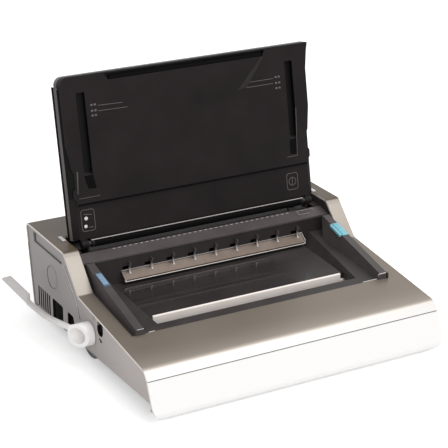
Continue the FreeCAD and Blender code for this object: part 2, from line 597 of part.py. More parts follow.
def arms():
    """Gusset rails beside the deck, each with a sprung tab in its top."""
    loft = doc.addObject("Part::Loft", "arm_loft")
    loft.Sections = [arm_section("arm_front_y"), arm_section("arm_rear_y")]
    loft.Solid = True
    loft.Ruled = True
    past = "arm_rear_y + 1"
    tail = prism("arm_tail", [("arm_rear_foot_y", deck("arm_rear_foot_y")),
                              ("arm_rear_foot_y - 2", deck("arm_rear_foot_y") + " - 5"),
                              (past, deck("arm_rear_foot_y") + " - 5"), (past, arm_top(past) + " - 2")],
                 "arm_inner - 30", "arm_outer + 1")
    bed = "(tab_depth + tab_travel + 0.5)"
    pocket = prism("tab_pocket", [("tab_front_y - seam", arm_top("tab_front_y") + " - " + bed),
                                  ("tab_rear_y + seam", arm_top("tab_rear_y") + " - " + bed),
                                  ("tab_rear_y + seam", arm_top("tab_rear_y") + " + 5"),
                                  ("tab_front_y - seam", arm_top("tab_front_y") + " + 5")],
                   "arm_inner + 0.7", "arm_outer - 0.7")
    right = cut("right_arm_solid", loft, [tail, pocket])
    tab = prism("right_tab_solid", [("tab_front_y", arm_top("tab_front_y") + " - tab_depth"),
                                    ("tab_rear_y", arm_top("tab_rear_y") + " - tab_depth"),
                                    ("tab_rear_y", arm_top("tab_rear_y") + " + tab_proud", "1.2"),
                                    ("tab_front_y", arm_top("tab_front_y") + " + tab_proud", "1.2")],
                "arm_inner + 1", "arm_outer - 1")
    keep(mirrored("left_arm_solid", right), "left_arm")
    keep(mirrored("left_tab_solid", tab), "left_tab")
    keep(group("right_arm_kept", [right]), "right_arm")
    keep(group("right_tab_kept", [tab]), "right_tab")


# ---------------------------------------------------------------- throat
def throat_lip():
    """Top band in front of the punching throat, turned down along the sheet."""
    wall = "sheet_metal"
    low, high = "-(recess_half - seam)", "recess_half - seam"
    keep(prism("lip", [("lip_front_y", "lip_front_z"), ("lip_rear_y", "lip_rear_z"),
                       ("lip_rear_y", "bar_high_z + seam"), ("lip_rear_y - 2", "bar_high_z + seam"),
                       ("lip_rear_y - 2", "lip_rear_z - " + wall + " - 0.5"),
                       ("lip_front_y", "lip_front_z - " + wall)], low, high), "throat_lip")


def throat_wall():
    """Upright wall under the lip with a notch behind each hook."""
    front = "wall_y"
    plate = prism("wall_plate", [(front, "wall_z"), (front, "lip_front_z - sheet_metal - seam"),
                                 (front + " + 2", "lip_front_z - sheet_metal - seam"), (front + " + 2", "wall_z")],
                  "-(recess_half - seam)", "recess_half - seam")
    cuts = []
    for i in range(int(value("hook_count"))):
        middle = hook_x(i)
        cuts.append(box("wall_notch", (middle + " - wall_notch", middle + " + 1"), (front + " - 1", front + " + 3"),
                        ("stand_back_z + 1", "stand_back_z + 6")))
    keep(cut("wall", plate, cuts), "throat_wall")


def hook_x(i):
    return "(hook_shift + (%d - (hook_count - 1) / 2) * 4 * pin_pitch)" % i


def wire_stand():
    """Bent strip that stands the wire element in front of the throat."""
    strip = band("stand_strip", [("wall_y - seam", "stand_back_z - 10"), ("wall_y - seam", "stand_back_z"),
                                 ("stand_front_y", "stand_front_z"), ("stand_front_y", "stand_front_z - 3")],
                 "-stand_wall", "stand_left", "opening_half")
    keep(strip, "wire_stand")
    hooks = []
    slope = "(stand_back_z - stand_front_z) / (wall_y - seam - stand_front_y)"
    for i in range(int(value("hook_count"))):
        low = hook_x(i) + " - hook_wall / 2"
        near, far = "wall_y - 4.5", "wall_y - 1.5"
        foot = "(stand_front_z + ((%s) - stand_front_y) * %s)"
        hooks.append(prism("hook", [(near, foot % (near, slope)), (far, foot % (far, slope)),
                                    (far, "stand_back_z + hook_rise"), (near + " - 3", "stand_back_z + hook_rise"),
                                    (near + " - 3", "stand_back_z + hook_rise - 4"),
                                    (near + " - 1.6", "stand_back_z + hook_rise - 4"),
                                    (near + " - 1.6", "stand_back_z + hook_rise - 1.8"),
                                    (near, "stand_back_z + hook_rise - 1.8")], low, low + " + hook_wall"))
    keep(group("hooks", hooks), "wire_hooks")


def throat_plate():
    """Rear guide of the throat with a shelf back to the cowl."""
    low, high = "-(recess_half - seam)", "recess_half - seam"
    rear = "recess_rear_y - seam"
    bent = prism("plate_bent", [("throat_y", "bar_high_z + seam"), ("throat_y", "lip_rear_z + 1"),
                                (rear, "lip_rear_z + 1"), (rear, "lip_rear_z - 1.5"),
                                ("throat_y + 2", "lip_rear_z - 1.5"), ("throat_y + 2", "bar_high_z + seam")],
                 low, high)
    cuts = []
    for _, side in SIDES:
        ends = span(side, "frame_x - seam", "frame_outer + lug_wall + 2")
        cuts.append(box("lug_room", ends, ("throat_y - 1", "hinge_y + lug_radius + 4"), ("90", "140")))
    keep(cut("plate", bent, cuts), "throat_plate")


def hole_bar(label, near, far):
    """Steel bar pierced by the row of square punch holes."""
    body = doc.addObject("PartDesign::Body", label + "_body")
    plane = [f for f in body.Origin.OriginFeatures if f.Role == "XZ_Plane"][0]

    def face(name, y, corners):
        sketch = body.newObject("Sketcher::SketchObject", name)
        sketch.AttachmentSupport = [(plane, "")]
        sketch.MapMode = "FlatFace"
        sketch.setExpression("AttachmentOffset.Base.z", formula("-(%s)" % y))
        return draw(sketch, corners)

    half_bar = "frame_x - 8"
    pad = body.newObject("PartDesign::Pad", label + "_pad")
    pad.Profile = face(label + "_face", far, [("-(%s)" % half_bar, "bar_low_z"), (half_bar, "bar_low_z"),
                                             (half_bar, "bar_high_z"), ("-(%s)" % half_bar, "bar_high_z")])
    bind(pad, Length="(%s) - (%s)" % (far, near))
    half_hole = "pin_side / 2 + pin_play"
    left, right = "pin_first - (%s)" % half_hole, "pin_first + " + half_hole
    low, high = "pin_z - (%s)" % half_hole, "pin_z + " + half_hole
    square = face(label + "_square", near, [(left, low), (right, low), (right, high), (left, high)])
    hole = body.newObject("PartDesign::Pocket", label + "_hole")
    hole.Profile = square
    hole.Type = "ThroughAll"
    doc.recompute()
    row = body.newObject("PartDesign::LinearPattern", label + "_row")
    row.Originals = [hole]
    row.Direction = (square, ["H_Axis"])
    bind(row, Length="(pin_count - 1) * pin_pitch", Occurrences="pin_count")
    body.Tip = row
    hole.Visibility = False
    return keep(body, label)


def throat():
    throat_lip()
    throat_wall()
    throat_plate()
    hole_bar("die_plate", "lip_rear_y - die_thick", "lip_rear_y")
    hole_bar("punch_guide", "throat_y", "guide_rear_y")
    keep(box("stop", ("-(opening_half)", "opening_half"), ("lip_rear_y + 0.1", "throat_y - 0.1"),
             ("bar_low_z - 3", "throat_floor_z")), "sheet_stop")
    edge = ("frame_x - guide_inset - guide_wide", "frame_x - guide_inset")
    fin = box("fin", edge, ("lip_rear_y + 0.2", "throat_y - 0.2"), ("throat_floor_z + 4", "lip_rear_z + 2"))
    cap = box("cap", edge, ("lip_rear_y + 0.2", "throat_y + 3"), ("lip_rear_z + 1.3", "lip_rear_z + 4.5"))
    keep(fuse("paper_guide", [fin, cap]), "edge_guide")


# ---------------------------------------------------------------- chassis
def frame_plate(side):
    low, high = span(side, "frame_x", "frame_outer")
    plate = prism("frame_plate", [("frame_front_y", "pan_top"), ("frame_rear_y", "pan_top"),
                                  ("frame_rear_y", "frame_rear_z", "8"), ("hinge_y + 10", "frame_rear_z"),
                                  ("hinge_y + lug_radius", "hinge_z"), ("throat_y + 0.4", "hinge_z"),
                                  ("throat_y + 0.4", "bar_high_z"), ("lip_front_y + 5", "bar_high_z"),
                                  ("lip_front_y + 5", "frame_front_z"), ("frame_front_y", "frame_front_z", "8")],
                  low, high)
    ear = rod("frame_ear", "lug_radius", (low, "hinge_y", "hinge_z"), "frame_wall")
    cuts = [rod("pin_hole", "pin_radius", (low + " - 1", "hinge_y", "hinge_z"), "frame_wall + 2"),
            rod("closer_hole", "shaft_radius + bush_wall", (low + " - 1", "lever_y", "lever_z"), "frame_wall + 2"),
            rod("punch_hole", "shaft_radius + bush_wall", (low + " - 1", "punch_y", "punch_z"), "frame_wall + 2"),
            rod("tie_hole", "tie_radius", (low + " - 1", "frame_front_y + 15", "tie_z"), "frame_wall + 2"),
            rod("tie_hole", "tie_radius", (low + " - 1", "frame_rear_y - 10", "tie_z"), "frame_wall + 2")]
    if side > 0:
        cuts.append(box("drawer_pass", (low + " - 1", high + " + 1"), ("drawer_front_y - 1", "drawer_rear_y + 1"),
                        ("drawer_low - 1", "drawer_high + 1")))
        cuts.append(box("rail_pass", (low + " - 1", high + " + 1"), ("drawer_front_y + 3.7", "drawer_rear_y - 3.7"),
                        ("0", "drawer_low")))
    else:
        cuts.append(rod("motor_hole", "6", (low + " - 1", "motor_y", "motor_z"), "frame_wall + 2"))
    return cut("frame_cut", fuse("frame_whole", [plate, ear]), cuts)


def chassis():
    for label, side in SIDES:
        keep(frame_plate(side), label + "_frame")
    keep(group("ties", [rod("tie", "tie_radius", ("-frame_outer", y, "tie_z"), "2 * frame_outer")
                        for y in ("frame_front_y + 15", "frame_rear_y - 10")]), "tie_rods")
    pins = []
    for _, side in SIDES:
        low, _ = span(side, "frame_x - 1", "frame_outer + lug_wall + 0.5")
        shank = rod("pin_shank", "pin_radius", (low, "hinge_y", "hinge_z"), "frame_wall + lug_wall + 1.5")
        low, _ = span(side, "frame_x - 3", "frame_x")
        head = rod("pin_head", "pin_radius + 1.5", (low, "hinge_y", "hinge_z"), "3")
        pins.append(fuse("hinge_pin", [shank, head]))
    keep(group("pins", pins), "lid_hinge_pins")
    keep(group("closer_bush_pair", bushes("lever_y", "lever_z")), "closer_bushes")
    keep(group("punch_bush_pair", bushes("punch_y", "punch_z")), "punch_bushes")


def bushes(y, z):
    """Flanged bushes pressed into the two frame plates from the inside."""
    pair = []
    for _, side in SIDES:
        low, _ = span(side, "frame_x - bush_long + frame_wall", "frame_outer")
        sleeve = rod("bush_sleeve", "shaft_radius + bush_wall", (low, y, z), "bush_long")
        low, _ = span(side, "frame_x - 2", "frame_x")
        collar = rod("bush_collar", "shaft_radius + 2 * bush_wall", (low, y, z), "2")
        low, _ = span(side, "frame_x - bush_long", "frame_outer + 1")
        bore = rod("bush_bore", "shaft_radius + running", (low, y, z), "bush_long + frame_wall + 1")
        pair.append(cut("bush", fuse("bush_whole", [sleeve, collar]), [bore]))
    return pair


# ---------------------------------------------------------------- cams and gears
def cam_wire(lift, travel, turn, x, y, z):
    """Cam of constant breadth: its reach grows evenly with the turn, and falls as evenly behind.

    Both flanks are involutes, and one centre carries the nose arc and the heel arc.
    """
    rate = travel / turn
    half_nose = (math.pi - turn) / 2
    offset = rate / math.sin(half_nose)
    nose = lift + travel - offset * math.cos(half_nose)
    heel = 2 * lift + travel - nose
    centre = Vector(x, y + offset * math.cos(half_nose), z + offset * math.sin(half_nose))

    def touch(angle, reach, slope):
        return Vector(x, y + reach * math.cos(angle) - slope * math.sin(angle),
                      z + reach * math.sin(angle) + slope * math.cos(angle))

    steps = [turn * i / 8 for i in range(9)]
    rising = [touch(math.pi - a, lift + rate * a, -rate) for a in steps]
    falling = [touch(-a, lift + travel - rate * a, rate) for a in steps]
    flank_up, flank_down = Part.BSplineCurve(), Part.BSplineCurve()
    flank_up.interpolate(rising)
    flank_down.interpolate(falling)
    nose_top = centre + Vector(0, math.cos(half_nose), math.sin(half_nose)) * nose
    heel_top = centre - Vector(0, math.cos(half_nose), math.sin(half_nose)) * heel
    return Part.Wire([flank_up.toShape(), Part.Arc(rising[-1], nose_top, falling[0]).toShape(),
                      flank_down.toShape(), Part.Arc(falling[-1], heel_top, rising[0]).toShape()])


def cams(label, xs, width, lift, travel, turn, y, z):
    """A pair of cams on a shaft; the bore sits on the shaft."""
    solids = []
    for x in xs:
        wire = cam_wire(value(lift), value(travel), math.radians(value(turn)), x, value(y), value(z))
        blank = Part.Face(wire).extrude(Vector(width, 0, 0))
        bore = Part.makeCylinder(value("shaft_radius"), width + 2, Vector(x - 1, value(y), value(z)),
                                 Vector(1, 0, 0))
        solids.append(blank.cut(bore))
    feature = doc.addObject("Part::Feature", label + "_solid")
    feature.Shape = Part.Compound(solids)
    return keep(feature, label)


def gear_points(teeth, module, turned, thinning, x, y, z):
    """Involute gear's outline as a polygon about (y, z): six points a tooth."""
    pitch = teeth * module / 2
    base = pitch * math.cos(math.radians(20))
    tip, root = pitch + module, pitch - 1.25 * module
    half_tooth = math.pi / (2 * teeth) - thinning / pitch

    def flank(radius):
        if radius <= base:
            return half_tooth + math.tan(math.radians(20)) - math.radians(20)
        lean = math.acos(base / radius)
        return half_tooth + (math.tan(math.radians(20)) - math.radians(20)) - (math.tan(lean) - lean)

    points = []
    for tooth in range(teeth):
        middle = turned + 2 * math.pi * tooth / teeth
        for radius in (root, pitch, tip):
            points.append((middle - flank(radius), radius))
        for radius in (tip, pitch, root):
            points.append((middle + flank(radius), radius))
    points.append(points[0])
    return [Vector(x, y + r * math.cos(a), z + r * math.sin(a)) for a, r in points]


def gear(label, teeth, turned, y, z, bore):
    """A spur gear on a shaft along X, outside the left frame plate."""
    wide = value("gear_wide")
    x = -value("frame_outer") - 2 - wide
    loop = Part.makePolygon(gear_points(int(value(teeth)), value("gear_module"), turned, 0.06, x, value(y), value(z)))
    blank = Part.Face(loop).extrude(Vector(wide, 0, 0))
    hole = Part.makeCylinder(bore, wide + 2, Vector(x - 1, value(y), value(z)), Vector(1, 0, 0))
    feature = doc.addObject("Part::Feature", label + "_solid")
    feature.Shape = blank.cut(hole)
    return feature


# ---------------------------------------------------------------- punch drive
def punch_drive():
    keep(rod("punch_axle", "shaft_radius", ("-(frame_outer + gear_wide + 4)", "punch_y", "punch_z"),
             "2 * frame_outer + gear_wide + 6"), "punch_shaft")
    width = value("cam_wide")
    cams("punch_cams", [s * value("cam_x") - width / 2 for s in (-1, 1)], width,
         "punch_lift", "punch_travel", "punch_angle", "punch_y", "punch_z")
    mesh = math.radians(value("mesh_angle"))
    keep(gear("drive_gear", "gear_teeth", mesh, "punch_y", "punch_z", value("shaft_radius")), "drive_gear")
    gap = math.pi / value("pinion_teeth")
    teeth = gear("motor_pinion", "pinion_teeth", mesh + math.pi + gap, "motor_y", "motor_z", 2.5)
    axle = rod("pinion_axle", "2.5", ("-(frame_outer + gear_wide + 3)", "motor_y", "motor_z"),
               "frame_wall + gear_wide + 3 - running")
    keep(group("pinion_kept", [teeth, axle]), "motor_pinion")
    can = rod("motor_can", "motor_radius", ("-frame_x", "motor_y", "motor_z"), "motor_long")
    cap_end = rod("motor_end", "motor_radius - 7", ("-frame_x + motor_long", "motor_y", "motor_z"), "5")
    keep(fuse("motor_whole", [can, cap_end]), "motor")
    keep(group("rods", [rod("guide_rod", "rod_radius", (x, "guide_rear_y", "pin_z"),
                            "beam_y + beam_thick + 4 - guide_rear_y", "y") for x in ("-rod_x", "rod_x")]),
         "guide_rods")
    bar = box("beam_bar", ("-beam_half", "beam_half"), ("beam_y", "beam_y + beam_thick"), ("beam_low", "beam_high"))
    bores = [rod("beam_bore", "rod_radius + running", (x, "beam_y - 1", "pin_z"), "beam_thick + 2", "y")
             for x in ("-rod_x", "rod_x")]
    parts = [cut("beam_bored", bar, bores)]
    near, far = "punch_y - punch_lift - cam_gap", "punch_y + punch_lift + punch_travel + cam_gap"
    reach = "(punch_lift + punch_travel + 1.5)"
    for _, side in SIDES:
        low, high = ("cam_x - cam_wide / 2", "cam_x + cam_wide / 2") if side > 0 else (
            "-cam_x - cam_wide / 2", "-cam_x + cam_wide / 2")
        outer = box("yoke_outer", (low, high), ("beam_y + beam_thick", far + " + yoke_wall"),
                    ("punch_z - %s - yoke_wall" % reach, "punch_z + %s + yoke_wall" % reach))
        inner = box("yoke_inner", (low + " - 1", high + " + 1"), (near, far),
                    ("punch_z - " + reach, "punch_z + " + reach))
        parts.append(cut("yoke", outer, [inner]))
    keep(fuse("beam_whole", parts), "punch_beam")
    pins = []
    for i in range(int(value("pin_count"))):
        middle = "(pin_first + %d * pin_pitch)" % i
        pins.append(box("pin", (middle + " - pin_side / 2", middle + " + pin_side / 2"),
                        ("throat_y + 0.6", "beam_y"), ("pin_z - pin_side / 2", "pin_z + pin_side / 2")))
    keep(group("pins_row", pins), "punch_pins")


# ---------------------------------------------------------------- wire closer
def wire_closer():
    floor = box("anvil_floor", ("-(frame_x - seam)", "frame_x - seam"), ("slot_front_y - 3.3", "jaw_rear + 2.5"),
                ("jaw_low - seam - sheet_metal", "jaw_low - seam"))
    jaw = box("anvil_jaw", ("-(opening_half - seam)", "opening_half - seam"),
              ("slot_front_y - 3.3", "slot_front_y - seam"),
              ("jaw_low - seam - 1", deck("slot_front_y - 3.3") + " - 2 * ledge - seam"))
    keep(fuse("anvil", [floor, jaw]), "closer_anvil")
    plate = prism("jaw_plate", [("jaw_y", "jaw_low"), ("jaw_rear", "jaw_low"), ("jaw_rear", "jaw_high", "1.6"),
                                ("jaw_y", "jaw_high", "1.6")], "-jaw_half", "jaw_half")
    rail = box("jaw_rail", ("-(yoke_x + yoke_wide)", "yoke_x + yoke_wide"), ("jaw_y", "jaw_rear"),
               ("jaw_low", "rail_high"))
    keep(fuse("jaw_whole", [plate, rail]), "closer_bar")
    near, far = "lever_y - closer_lift - cam_gap", "lever_y + closer_lift + closer_travel + cam_gap"
    reach = "(closer_lift + closer_travel + 3)"
    yokes = []
    for _, side in SIDES:
        low, high = span(side, "yoke_x", "yoke_x + yoke_wide")
        link = box("yoke_link", (low, high), ("jaw_rear", near), ("jaw_low", "rail_high"))
        bent = prism("yoke_bent", [(near + " - yoke_wall", "lever_z - %s - yoke_wall" % reach),
                                   (far + " + yoke_wall", "lever_z - %s - yoke_wall" % reach),
                                   (far + " + yoke_wall", "lever_z + 14"), (far, "lever_z + 14"),
                                   (far, "lever_z - " + reach), (near, "lever_z - " + reach),
                                   (near, "rail_high"), (near + " - yoke_wall", "rail_high")], low, high)
        yokes.append(fuse("closer_yoke", [link, bent]))
    keep(group("carriage", yokes), "closer_carriage")
    width = value("yoke_wide") - 2
    cams("closer_cams", [value("yoke_x") + 1, -value("yoke_x") - 1 - width], width,
         "closer_lift", "closer_travel", "lever_angle", "lever_y", "lever_z")
    start = "-(panel_outer + 3.6)"
    keep(rod("closer_axle", "shaft_radius", (start, "lever_y", "lever_z"), "panel_outer + 3.6 + frame_outer + 3"),
         "closer_shaft")
    lever(start)
    size_dial()


def lever(shaft_start):
    """Lever: hub with a mitred open cup, a bent stem and a broad paddle."""
    root = "panel_outer + 0.6"
    hub = rod("hub", "hub_radius", ("-hub_reach", "lever_y", "lever_z"), "hub_reach - (%s)" % root)
    boss = rod("hub_boss", "boss_radius", ("-(%s)" % root, "lever_y", "lever_z"), "side_wall + 0.5")
    mitre = prism("hub_mitre", [("-hub_short", "lever_y - hub_radius - 1"), ("-hub_reach", "lever_y + hub_radius - 4"),
                                ("-hub_reach - 20", "lever_y + hub_radius - 4"),
                                ("-hub_reach - 20", "lever_y - hub_radius - 1")],
                  "lever_z - hub_radius - 1", "lever_z + hub_radius + 1", "z")
    cup = rod("hub_cup", "cup_radius", ("-hub_reach - 1", "lever_y", "lever_z"), "hub_reach + 1 - (%s) - 5" % root)
    seat = rod("hub_seat", "shaft_radius", (shaft_start, "lever_y", "lever_z"), "side_wall + 5")
    head = cut("hub_head", fuse("hub_whole", [hub, boss]), [mitre, cup, seat])
    shoulder = "paddle_start"
    stem = band("stem", [("blade_start", "0"), ("90", "-9.5", "150"), (shoulder + " + 2", "-5")],
                "-blade_thick", "-blade_wide / 2", "blade_wide / 2")
    thick = outline("paddle_root", [("-blade_wide / 2", "-4"), ("blade_wide / 2", "-4"),
                                    ("blade_wide / 2", "paddle_tall - 4"), ("-blade_wide / 2", "paddle_tall - 4")],
                    True, "y", shoulder)
    flat = outline("paddle_tip", [("-blade_wide / 2", "8"), ("paddle_wide - blade_wide / 2", "8"),
                                  ("paddle_wide - blade_wide / 2", "8 + paddle_thin"),
                                  ("-blade_wide / 2", "8 + paddle_thin")], True, "y", "blade_length")
    paddle = doc.addObject("Part::Loft", "paddle")
    paddle.Sections = [thick, flat]
    paddle.Solid = True
    paddle.Ruled = True
    blade = fuse("blade", [stem, paddle])
    blade.Placement = Placement(Vector(), Rotation(Vector(0, 0, 1), 1))
    bind(blade, Placement__Rotation__Angle="blade_angle", Placement__Base__x="-blade_x",
         Placement__Base__y="lever_y", Placement__Base__z="lever_z")
    keep(fuse("lever_whole", [head, blade]), "closing_lever")


def size_dial():
    """Thumb wheel with a fluted rim that sets how far the jaw may close."""
    body = doc.addObject("PartDesign::Body", "dial_body")
    plane = [f for f in body.Origin.OriginFeatures if f.Role == "YZ_Plane"][0]
    axis = [f for f in body.Origin.OriginFeatures if f.Role == "X_Axis"][0]

    def disc(name, rings):
        sketch = body.newObject("Sketcher::SketchObject", name)
        sketch.AttachmentSupport = [(plane, "")]
        sketch.MapMode = "FlatFace"
        for up, radius in rings:
            circle = sketch.addGeometry(Part.Circle(Vector(0, value(up), 0), Vector(0, 0, 1), value(radius)), False)
            size = sketch.addConstraint(Sketcher.Constraint("Radius", circle, value(radius)))
            sketch.setExpression("Constraints[%d]" % size, formula(radius))
            sketch.addConstraint(Sketcher.Constraint("DistanceX", -1, 1, circle, 3, 0))
            rise = sketch.addConstraint(Sketcher.Constraint("DistanceY", -1, 1, circle, 3, value(up)))
            sketch.setExpression("Constraints[%d]" % rise, formula(up))
        return sketch

    pad = body.newObject("PartDesign::Pad", "dial_pad")
    pad.Profile = disc("dial_face", [("0", "dial_radius"), ("0", "shaft_radius + running")])
    bind(pad, Length="dial_thick")
    flute = body.newObject("PartDesign::Pocket", "dial_flute")
    flute.Profile = disc("flute_face", [("dial_radius + 0.6", "2")])
    flute.Type = "ThroughAll"
    flute.Reversed = True
    doc.recompute()
    rim = body.newObject("PartDesign::PolarPattern", "dial_rim")
    rim.Originals = [flute]
    rim.Axis = (axis, [""])
    rim.Angle = 360
    bind(rim, Occurrences="dial_teeth")
    body.Tip = rim
    keep(body, "size_dial")
    bind(body, Placement__Base__x="shift_x - (panel_inner - seam)", Placement__Base__y="shift_y + lever_y",
         Placement__Base__z="lever_z")


# ---------------------------------------------------------------- lid
def lid_point(thing):
    """Place a piece drawn in the lid's own frame on the leaning lid."""
    thing.Placement = Placement(Vector(), Rotation(Vector(1, 0, 0), -1))
    return bind(thing, Placement__Rotation__Angle="-lid_lean", Placement__Base__x="shift_x",
                Placement__Base__y="shift_y + lid_y", Placement__Base__z="lip_rear_z")


BACK_LINE = [("lid_back_low", "lid_low"), ("lid_back_third", "lid_third", "300"), ("lid_back_mid", "lid_mid", "300"),
             ("lid_back_high", "lid_high")]


def ear_room(side, radius):
    low, _ = span(side, "frame_x - 3.5", "frame_outer + seam")
    return rod("ear_room", radius, (low, "hinge_u", "hinge_s"), "frame_wall + 3.5 + seam")


def lid_face(name):
    """The lid's outline seen from the front: waisted, with a bump at each edge and a pointed right corner."""
    edge = [("lid_half - 7", "lid_low", "3"), ("lid_half - 7", "block_high + 6"), ("lid_half - 3.5", "block_high + 10"),
            ("lid_half - 3.5", "block_high + 20"), ("lid_half - 7", "block_high + 24"), ("lid_half - 7", "110"),
            ("lid_half - 4", "116"), ("lid_half", "150"), ("lid_half", "205"), ("lid_half + 3.5", "231")]
    left = [("-(%s)" % corner[0],) + corner[1:] for corner in edge[:-2]]
    return prism(name, edge + [("lid_half + 6", "lid_high"), ("-lid_half", "lid_high", "12")] + left[::-1],
                 "-10", "40", "y")


def lid():
    """Lid of two pieces: an outer shell, and a liner with a rim that the sheet leans on."""
    wide = "lid_half + 10"
    skin = band("shell_skin", BACK_LINE, "lid_wall", "-(%s)" % wide, wide)
    core_high = "lid_high - lid_wall - seam"
    hollow = prism("shell_hollow", [("-5", "lid_low - 1"), ("-5", "lid_high + 1"), ("rim_high + seam", "lid_high + 1"),
                                    ("rim_high + seam", "lid_high"), ("rim_low + seam", "lid_low"),
                                    ("rim_low + seam", "lid_low - 1")], "-(%s) - 1" % wide, wide + " + 1")
    ends = [prism("shell_end", BACK_LINE + [("rim_high", "lid_high"), ("rim_low", "lid_low")],
                  *span(side, "lid_half - 7 - lid_wall", wide)) for _, side in SIDES]
    top = box("shell_top", ("-(%s)" % wide, wide), ("rim_high", "lid_back_high"), ("lid_high - lid_wall", "lid_high"))
    whole = cut("shell_whole", fuse("shell_parts", [skin, top] + ends), [hollow])
    rooms = [ear_room(side, "lug_radius + 1.5") for _, side in SIDES]
    shell = cut("shell", common("shell_round", [whole, lid_face("shell_face")]), rooms)
    shell.Label = "lid_shell"
    nodes.append(lid_point(shell))

    inset = "lid_wall + seam"
    side = "lid_half - 7 - (%s)" % inset
    core = prism("liner_core", [("0", "lid_low"), ("0", core_high),
                                ("lid_back_high - (%s)" % inset, core_high),
                                ("lid_back_mid - (%s)" % inset, "lid_mid"),
                                ("lid_back_third - (%s)" % inset, "lid_third"),
                                ("lid_back_low - (%s)" % inset, "lid_low")], "-(%s)" % side, side)
    rim = prism("liner_rim", [("0", "lid_low"), ("0", "lid_high"), ("rim_high", "lid_high"), ("rim_low", "lid_low")],
                "-(%s)" % wide, wide)
    front = common("liner_front", [rim, lid_face("liner_face")])
    cuts = [prism("top_notch", [("notch_left", "lid_high - 2"), ("notch_right + 4", "lid_high - 2"),
                                ("notch_right", "notch_low"), ("notch_left + 6", "notch_low")],
                  "-1", "notch_deep", "y"),
            box("low_block", ("-(%s)" % wide, wide), ("-1", "block_step"), ("lid_low - 1", "block_high"))]
    for _, hand in SIDES:
        low, high = span(hand, "slot_inner", "slot_outer")
        cuts.append(prism("long_slot", [("-1", "slot_low"), ("slot_deep", "slot_low + 8"),
                                        ("slot_deep", "slot_high"), ("-1", "slot_high")], low, high))
        cuts.append(ear_room(hand, "lug_radius + 1.5"))
    lugs = []
    for _, hand in SIDES:
        low, high = span(hand, "frame_outer + seam", "frame_outer + lug_wall")
        eye = rod("lug_eye", "lug_radius", (low, "hinge_u", "hinge_s"), "lug_wall - seam")
        web = box("lug_web", (low, high), ("block_step", "rim_low"), ("hinge_s", "lid_low + 4"))
        hole = rod("lug_hole", "pin_radius + running", (low + " - 1", "hinge_u", "hinge_s"), "lug_wall + 2")
        lugs.append(cut("lug", fuse("lug_whole", [eye, web]), [hole]))
    tube = rod("hinge_tube", "lug_radius", ("-(frame_x - 4)", "hinge_u", "hinge_s"), "2 * (frame_x - 4)")
    liner = fuse("liner", [cut("liner_cut", fuse("liner_body", [core, front]), cuts), tube] + lugs)
    liner.Label = "lid_liner"
    nodes.append(lid_point(liner))


# ---------------------------------------------------------------- inside and fasteners
def waste_drawer():
    """Chip tray that slides out at the right side."""
    right = "panel_inner"
    outer = box("tray_outer", ("drawer_left", right), ("drawer_front_y", "drawer_rear_y"), ("drawer_low", "drawer_high"))
    inner = box("tray_inner", ("drawer_left + drawer_wall", right + " - drawer_wall"),
                ("drawer_front_y + drawer_wall", "drawer_rear_y - drawer_wall"),
                ("drawer_low + drawer_wall", "drawer_high + 1"))
    front = box("tray_front", (right, "panel_outer"), ("drawer_front_y - 1.5", "drawer_rear_y + 1.5"),
                ("drawer_low - 1", "drawer_high + 2"))
    pull = rod("tray_pull", "14", (right + " + 1.5", "(drawer_front_y + drawer_rear_y) / 2", "drawer_high + 4"), "10")
    keep(cut("tray_cut", fuse("tray_whole", [cut("tray", outer, [inner]), front]), [pull]), "waste_drawer")


def control_board():
    def block(name, left, front, sizes):
        wide, deep, tall = sizes
        return box(name, (left, "%s + %s" % (left, wide)), (front, "%s + %s" % (front, deep)),
                   ("board_top", "board_top + " + tall))

    board = box("board", ("board_left", "board_left + board_wide"), ("board_y", "board_y + board_deep"),
                ("board_z", "board_top"))
    parts = [board, block("board_block", "board_left + block_gap", "board_y + part_gap",
                          ("block_wide", "block_deep", "block_tall")),
             block("board_relay", "board_left + relay_gap", "board_y + 2 * part_gap",
                   ("relay_wide", "relay_deep", "relay_tall"))]
    for x in ("board_left + post_inset", "board_left + board_wide - post_inset"):
        for y in ("board_y + post_inset", "board_y + board_deep - post_inset"):
            parts.append(rod("board_post", "post_radius", (x, y, "pan_top"), "board_z - pan_top", "z"))
    keep(fuse("board_whole", parts), "control_board")


def fasteners():
    """Identical screws share a node: foot screws, stand screws and rear cover screws."""
    screws = []
    for _, side in SIDES:
        x = "sole_x" if side > 0 else "-sole_x"
        for y in ("sole_front_y", "sole_rear_y"):
            screws.append(rod("foot_screw", "screw_radius + 2", (x, y, "pan_top"), "2.4", "z"))
    keep(group("foot_screw_set", screws), "foot_screws")
    heads = []
    for x in ("-(half - screw_inset)", "-screw_mid", "screw_mid", "half - screw_inset"):
        head = rod("rear_screw", "screw_radius + 1.5", ("0", "0", "0"), "screw_head", "y")
        heads.append(on_back_wall(group("rear_screw_seat", [head]), x, "split_z - screw_drop"))
    keep(group("rear_screw_set", heads), "rear_screws")


top_cowl()
front_fascia()
left_side_panel()
right_side_panel()
rear_cover()
mains()
base_pan()
rubber_feet()
grip_cup()
deck_surround()
inner_deck()
arms()
throat()
wire_stand()
chassis()
punch_drive()
wire_closer()
lid()
waste_drawer()
control_board()
fasteners()
doc.recompute()

# ---------------------------------------------------------------- check and write
faults = ["%s %s" % (thing.Name, thing.State) for thing in doc.Objects
          if "Invalid" in thing.State or "Error" in thing.State]
for node in nodes:
    shape = node.Shape
    if shape.isNull() or not shape.isValid() or not shape.Solids:
        faults.append("%s has no valid solid" % node.Label)
if faults:
    raise SystemExit("not written: " + "; ".join(faults))
os.makedirs("parts", exist_ok=True)
for node in nodes:
    node.Shape.exportStep("parts/%s.step" % node.Label)
print("%d sub-parts, %d solids" % (len(nodes), sum(len(node.Shape.Solids) for node in nodes)))
